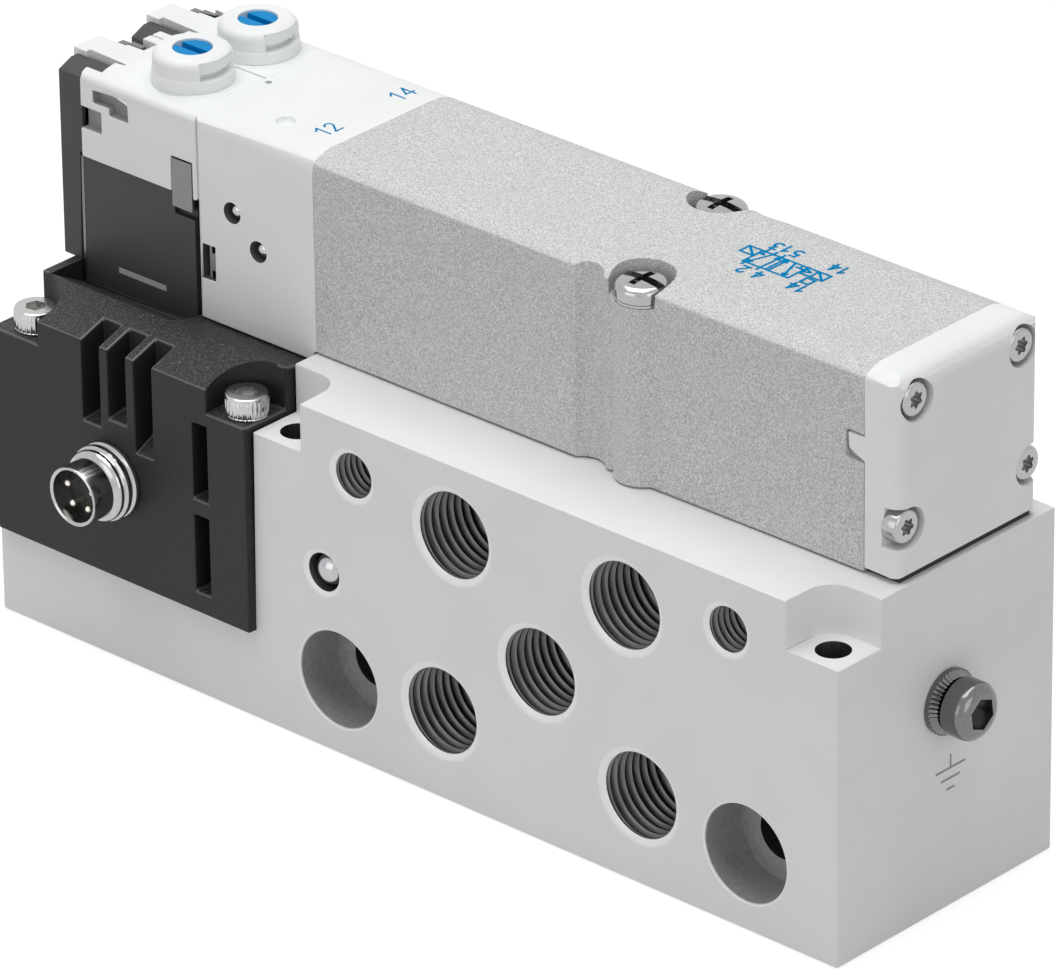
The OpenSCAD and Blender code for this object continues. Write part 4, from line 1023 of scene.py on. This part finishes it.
numbers = [strokes(number_lines("12", 2.4), 0.28, UP, number_at(-28.85, -1.6)),
           strokes(number_lines("14", 2.4), 0.28, UP, number_at(-29.1, 12.15))]
print("numbers printed:", len(numbers))
add_piece(join_all(numbers), "printed_numbers", "valve", "blue_plastic", material="blue_print",
          even=False)

# %% [markdown]
# The sign of the valve.
# A standard drawing tells a fitter what the valve does: two squares, one for each position
# of the spool, with arrows for the air's paths and the port numbers beside them, and the
# drives at both ends. It is drawn here from straight strokes in millimetres.

# %% The valve sign
def sign_point(p):
    """Sign coordinates in mm: x runs along -X and y along -Y of the valve."""
    return Vector((38.5 - p[0], 5.83 - p[1], TOP_PRINT)) * MM


def rectangle(x0, y0, x1, y1):
    """Four strokes between two opposite corners."""
    corners = [(x0, y0), (x1, y0), (x1, y1), (x0, y1)]
    return list(zip(corners, corners[1:] + corners[:1]))


def arrow(start, end, head=0.75):
    """A line with two short barbs at its end."""
    back = (Vector(start) - Vector(end)).normalized() * head
    barbs = [(end, tuple(Vector(end) + Matrix.Rotation(a, 2) @ back)) for a in (0.42, -0.42)]
    return [(start, end)] + barbs


W, H = 3.6, 1.87  # width and half height of one square
lines = rectangle(-W, -H, 0, H) + rectangle(0, -H, W, H)
lines += arrow((-1.65, -H), (-2.8, H)) + arrow((-0.45, H), (-0.45, -H))
lines += arrow((1.95, -H), (3.15, H)) + arrow((0.8, H), (0.7, -H))
for x in (-2.9, 3.15):
    lines += [((x, -H), (x, -H + 0.8)), ((x - 0.4, -H + 0.8), (x + 0.4, -H + 0.8))]
lines += [((x, H), (x, H + 0.65)) for x in (0.8, 3.2)]
lines += [((x, -H), (x, -H - 0.7)) for x in (0.7, 1.95, 3.2)]
lines += rectangle(W, -H, W + 2.15, -0.05) + [((W + 0.1, -0.1), (W + 2.0, -H + 0.1))]
lines += [((-W, -H), (-W - 1.8, -H)), ((-W, -0.1), (-W - 1.8, -0.1))]
lines += [((-W - 0.2, -1.5), (-W - 1.1, -1.0)), ((-W - 0.2, -0.5), (-W - 1.1, -1.0)),
          ((-W - 0.2, -1.5), (-W - 0.2, -0.5))]
lines += rectangle(-W - 3.7, -H, -W - 1.8, -0.1) + [((-W - 3.6, -0.2), (-W - 1.9, -H + 0.1))]
lines += rectangle(-W - 3.1, 0.35, -W - 1.8, 1.7)
digits = []
for label, x, y in [("4", -0.4, 3.6), ("2", 2.1, 3.6), ("5", 0.0, -3.9), ("1", 1.7, -4.1),
                    ("3", 3.2, -3.9), ("14", -6.7, -4.0), ("14", -6.2, 3.1)]:
    digits += number_lines(label, 1.8, x, y)
sign = [strokes(lines, 0.36, UP, sign_point), strokes(digits, 0.36, UP, sign_point)]
add_piece(join_all(sign), "printed_valve_sign", "valve", "blue_plastic", material="blue_print",
          even=False)
print("sign strokes:", len(lines) + len(digits))

# %% [markdown]
# The earth sign and the coil's bar.
# The earth sign is engraved beside its screw: a cut has no colour of its own, so it is a
# slightly darker grey than the anodised face. The coil carries a plain pale bar.

# %% Earth sign and the bar on the coil
COIL_PRINT_Y = -8.112


def end_point(p):
    """Points on the right end face: x runs along +Y, y runs up."""
    return Vector((BLOCK_END_X + 0.006, 0.8 + p[0], 18.2 + p[1])) * MM


lines = [((0, 2.6), (0, 0.9)), ((-2.6, 0.9), (2.6, 0.9)), ((-1.6, -0.5), (1.6, -0.5)),
         ((-0.6, -1.9), (0.6, -1.9))]
add_piece(strokes(lines, 0.32, RIGHT, end_point), "engraved_earth_sign", "valve",
          "anodised_block", material="engraving", even=False)
bar = strokes([((-59.5, 47.5), (-51.9, 47.5))], 0.8, FRONT,
              lambda p: Vector((p[0], COIL_PRINT_Y, p[1])) * MM)
add_piece(bar, "coil_print_bar", "valve", "coil_plastic", material="pale_print", even=False)
print("marks done")

# %% [markdown]
# The floor.
# The valve stands on white, as in a catalogue. A floor bright enough to look white would
# throw its light back on the object, so the floor is white only for camera, glossy and
# transmission rays, and a plain pale grey for the light that spreads. Half of what those
# rays see is its own glow and half is matte paint: the glow keeps the open floor white,
# and the paint keeps the shadow of the block.

# %% Floor
FLOOR_GLOW, GLOW_SHARE = 1.6, 0.5
FLOOR_PAINT = (0.7, 0.7, 0.7, 1)
FLOOR_GAP = 0.0002


def seen_rays(recipe):
    """1 for camera, glossy and transmission rays, 0 for the light that spreads."""
    path = "ShaderNodeLightPath"
    total = recipe.node(path, output="Is Camera Ray") + recipe.node(path, output="Is Glossy Ray")
    total = total + recipe.node(path, output="Is Transmission Ray")
    return ramp(recipe, total, 0, 1)


def floor_paint():
    """Matte paint with a glow that only the seen rays meet."""
    r = Recipe("floor")
    glow = r.node("ShaderNodeEmission", inputs={"Color": (1, 1, 1, 1), "Strength": FLOOR_GLOW})
    matte = r.node("ShaderNodeBsdfDiffuse", inputs={"Color": FLOOR_PAINT})
    return r.finish(r.node("ShaderNodeMixShader", inputs={
        0: GLOW_SHARE * seen_rays(r), 1: matte, 2: glow}))


floor_z = cad_box[0][2]
bm = bmesh.new()
bmesh.ops.create_grid(bm, x_segments=1, y_segments=1, size=2.0)
bmesh.ops.translate(bm, verts=bm.verts, vec=(0, 0, floor_z - FLOOR_GAP))
mesh = bpy.data.meshes.new("floor")
bm.to_mesh(mesh)
bm.free()
floor = bpy.data.objects.new("floor", mesh)
bpy.context.scene.collection.objects.link(floor)
mesh.materials.append(floor_paint())
print("floor at z =", round(floor_z / MM, 2), "mm")

# %% [markdown]
# The world.
# It is the same idea without a shape: white where it is seen or mirrored, and a weak even
# fill of about a quarter for everything else, as the white walls of a studio give.

# %% World
FILL = 0.26
sky = Recipe("studio", of_world=True)
background = sky.node("ShaderNodeBackground", inputs={
    "Color": (1, 1, 1, 1), "Strength": FILL + (1 - FILL) * seen_rays(sky)})
bpy.context.scene.world = sky.finish(background, "ShaderNodeOutputWorld")
print("world ready")

# %% [markdown]
# The lamps.
# A big soft lamp overhead gives the top faces the most light. A weaker one in front lights
# the port face and another at the right lights the end face. Each lamp was rendered alone
# first, and the three powers were then chosen so that white plastic, grey casting and
# black housing all come out as bright as they should.

# %% Lamps
LAMP_TARGET = Vector((0, 0, 40))


def area_lamp(name, position_mm, size_mm, watts):
    """A rectangular lamp that looks at the middle of the valve."""
    data = bpy.data.lights.new(name, "AREA")
    data.shape = "RECTANGLE"
    data.size, data.size_y = size_mm[0] * MM, size_mm[1] * MM
    data.energy = watts
    lamp = bpy.data.objects.new(name, data)
    lamp.location = Vector(position_mm) * MM
    aim = (LAMP_TARGET - Vector(position_mm)).to_track_quat("-Z", "Y")
    lamp.rotation_euler = aim.to_euler()
    bpy.context.scene.collection.objects.link(lamp)


area_lamp("top_light", (-60, -20, 640), (600, 600), 3.05)
area_lamp("front_light", (-60, -660, 220), (500, 400), 0.52)
area_lamp("end_light", (640, -120, 240), (400, 400), 0.54)
print("lamps:", len(bpy.data.lights))

# %% [markdown]
# The camera.
# Its place, direction, roll and lens come from fitting the block's corners and port
# centres in the photograph, so every piece lands on its pixel. The lens is long, as for
# a catalogue picture, and the two small shifts stand for a crop that isn't quite centred.

# %% Camera
VIEW_FROM = Vector((745.84, -800.71, 588.86)) * MM
TOWARDS_CAMERA = Vector((0.607, -0.6537, 0.452)).normalized()
ROLL_DEG = -0.737
PHOTO_WIDTH, FOCAL_PX = 1056, 9873.7
SHIFT_PX = (2.9, -5.8)
right = Vector((0, 0, 1)).cross(TOWARDS_CAMERA).normalized()
up = TOWARDS_CAMERA.cross(right)
turn = math.radians(ROLL_DEG)
camera_right = math.cos(turn) * right + math.sin(turn) * up
camera_up = math.cos(turn) * up - math.sin(turn) * right
data = bpy.data.cameras.new("photo_camera")
data.sensor_fit = "HORIZONTAL"
data.sensor_width = 36.0
data.lens = FOCAL_PX * data.sensor_width / PHOTO_WIDTH
data.shift_x, data.shift_y = (shift / PHOTO_WIDTH for shift in SHIFT_PX)
data.clip_end = 10
camera = bpy.data.objects.new("photo_camera", data)
axes = Matrix((camera_right, camera_up, TOWARDS_CAMERA)).transposed()
camera.matrix_world = Matrix.Translation(VIEW_FROM) @ axes.to_4x4()
bpy.context.scene.collection.objects.link(camera)
bpy.context.scene.camera = camera
bpy.context.scene.view_settings.view_transform = "Standard"
print("lens, mm:", round(data.lens, 1))

# %% [markdown]
# Dressing must not change the valve's size. The box of the CAD model was kept and
# printed at the start.

# %% Close the scene
print("scene ready")
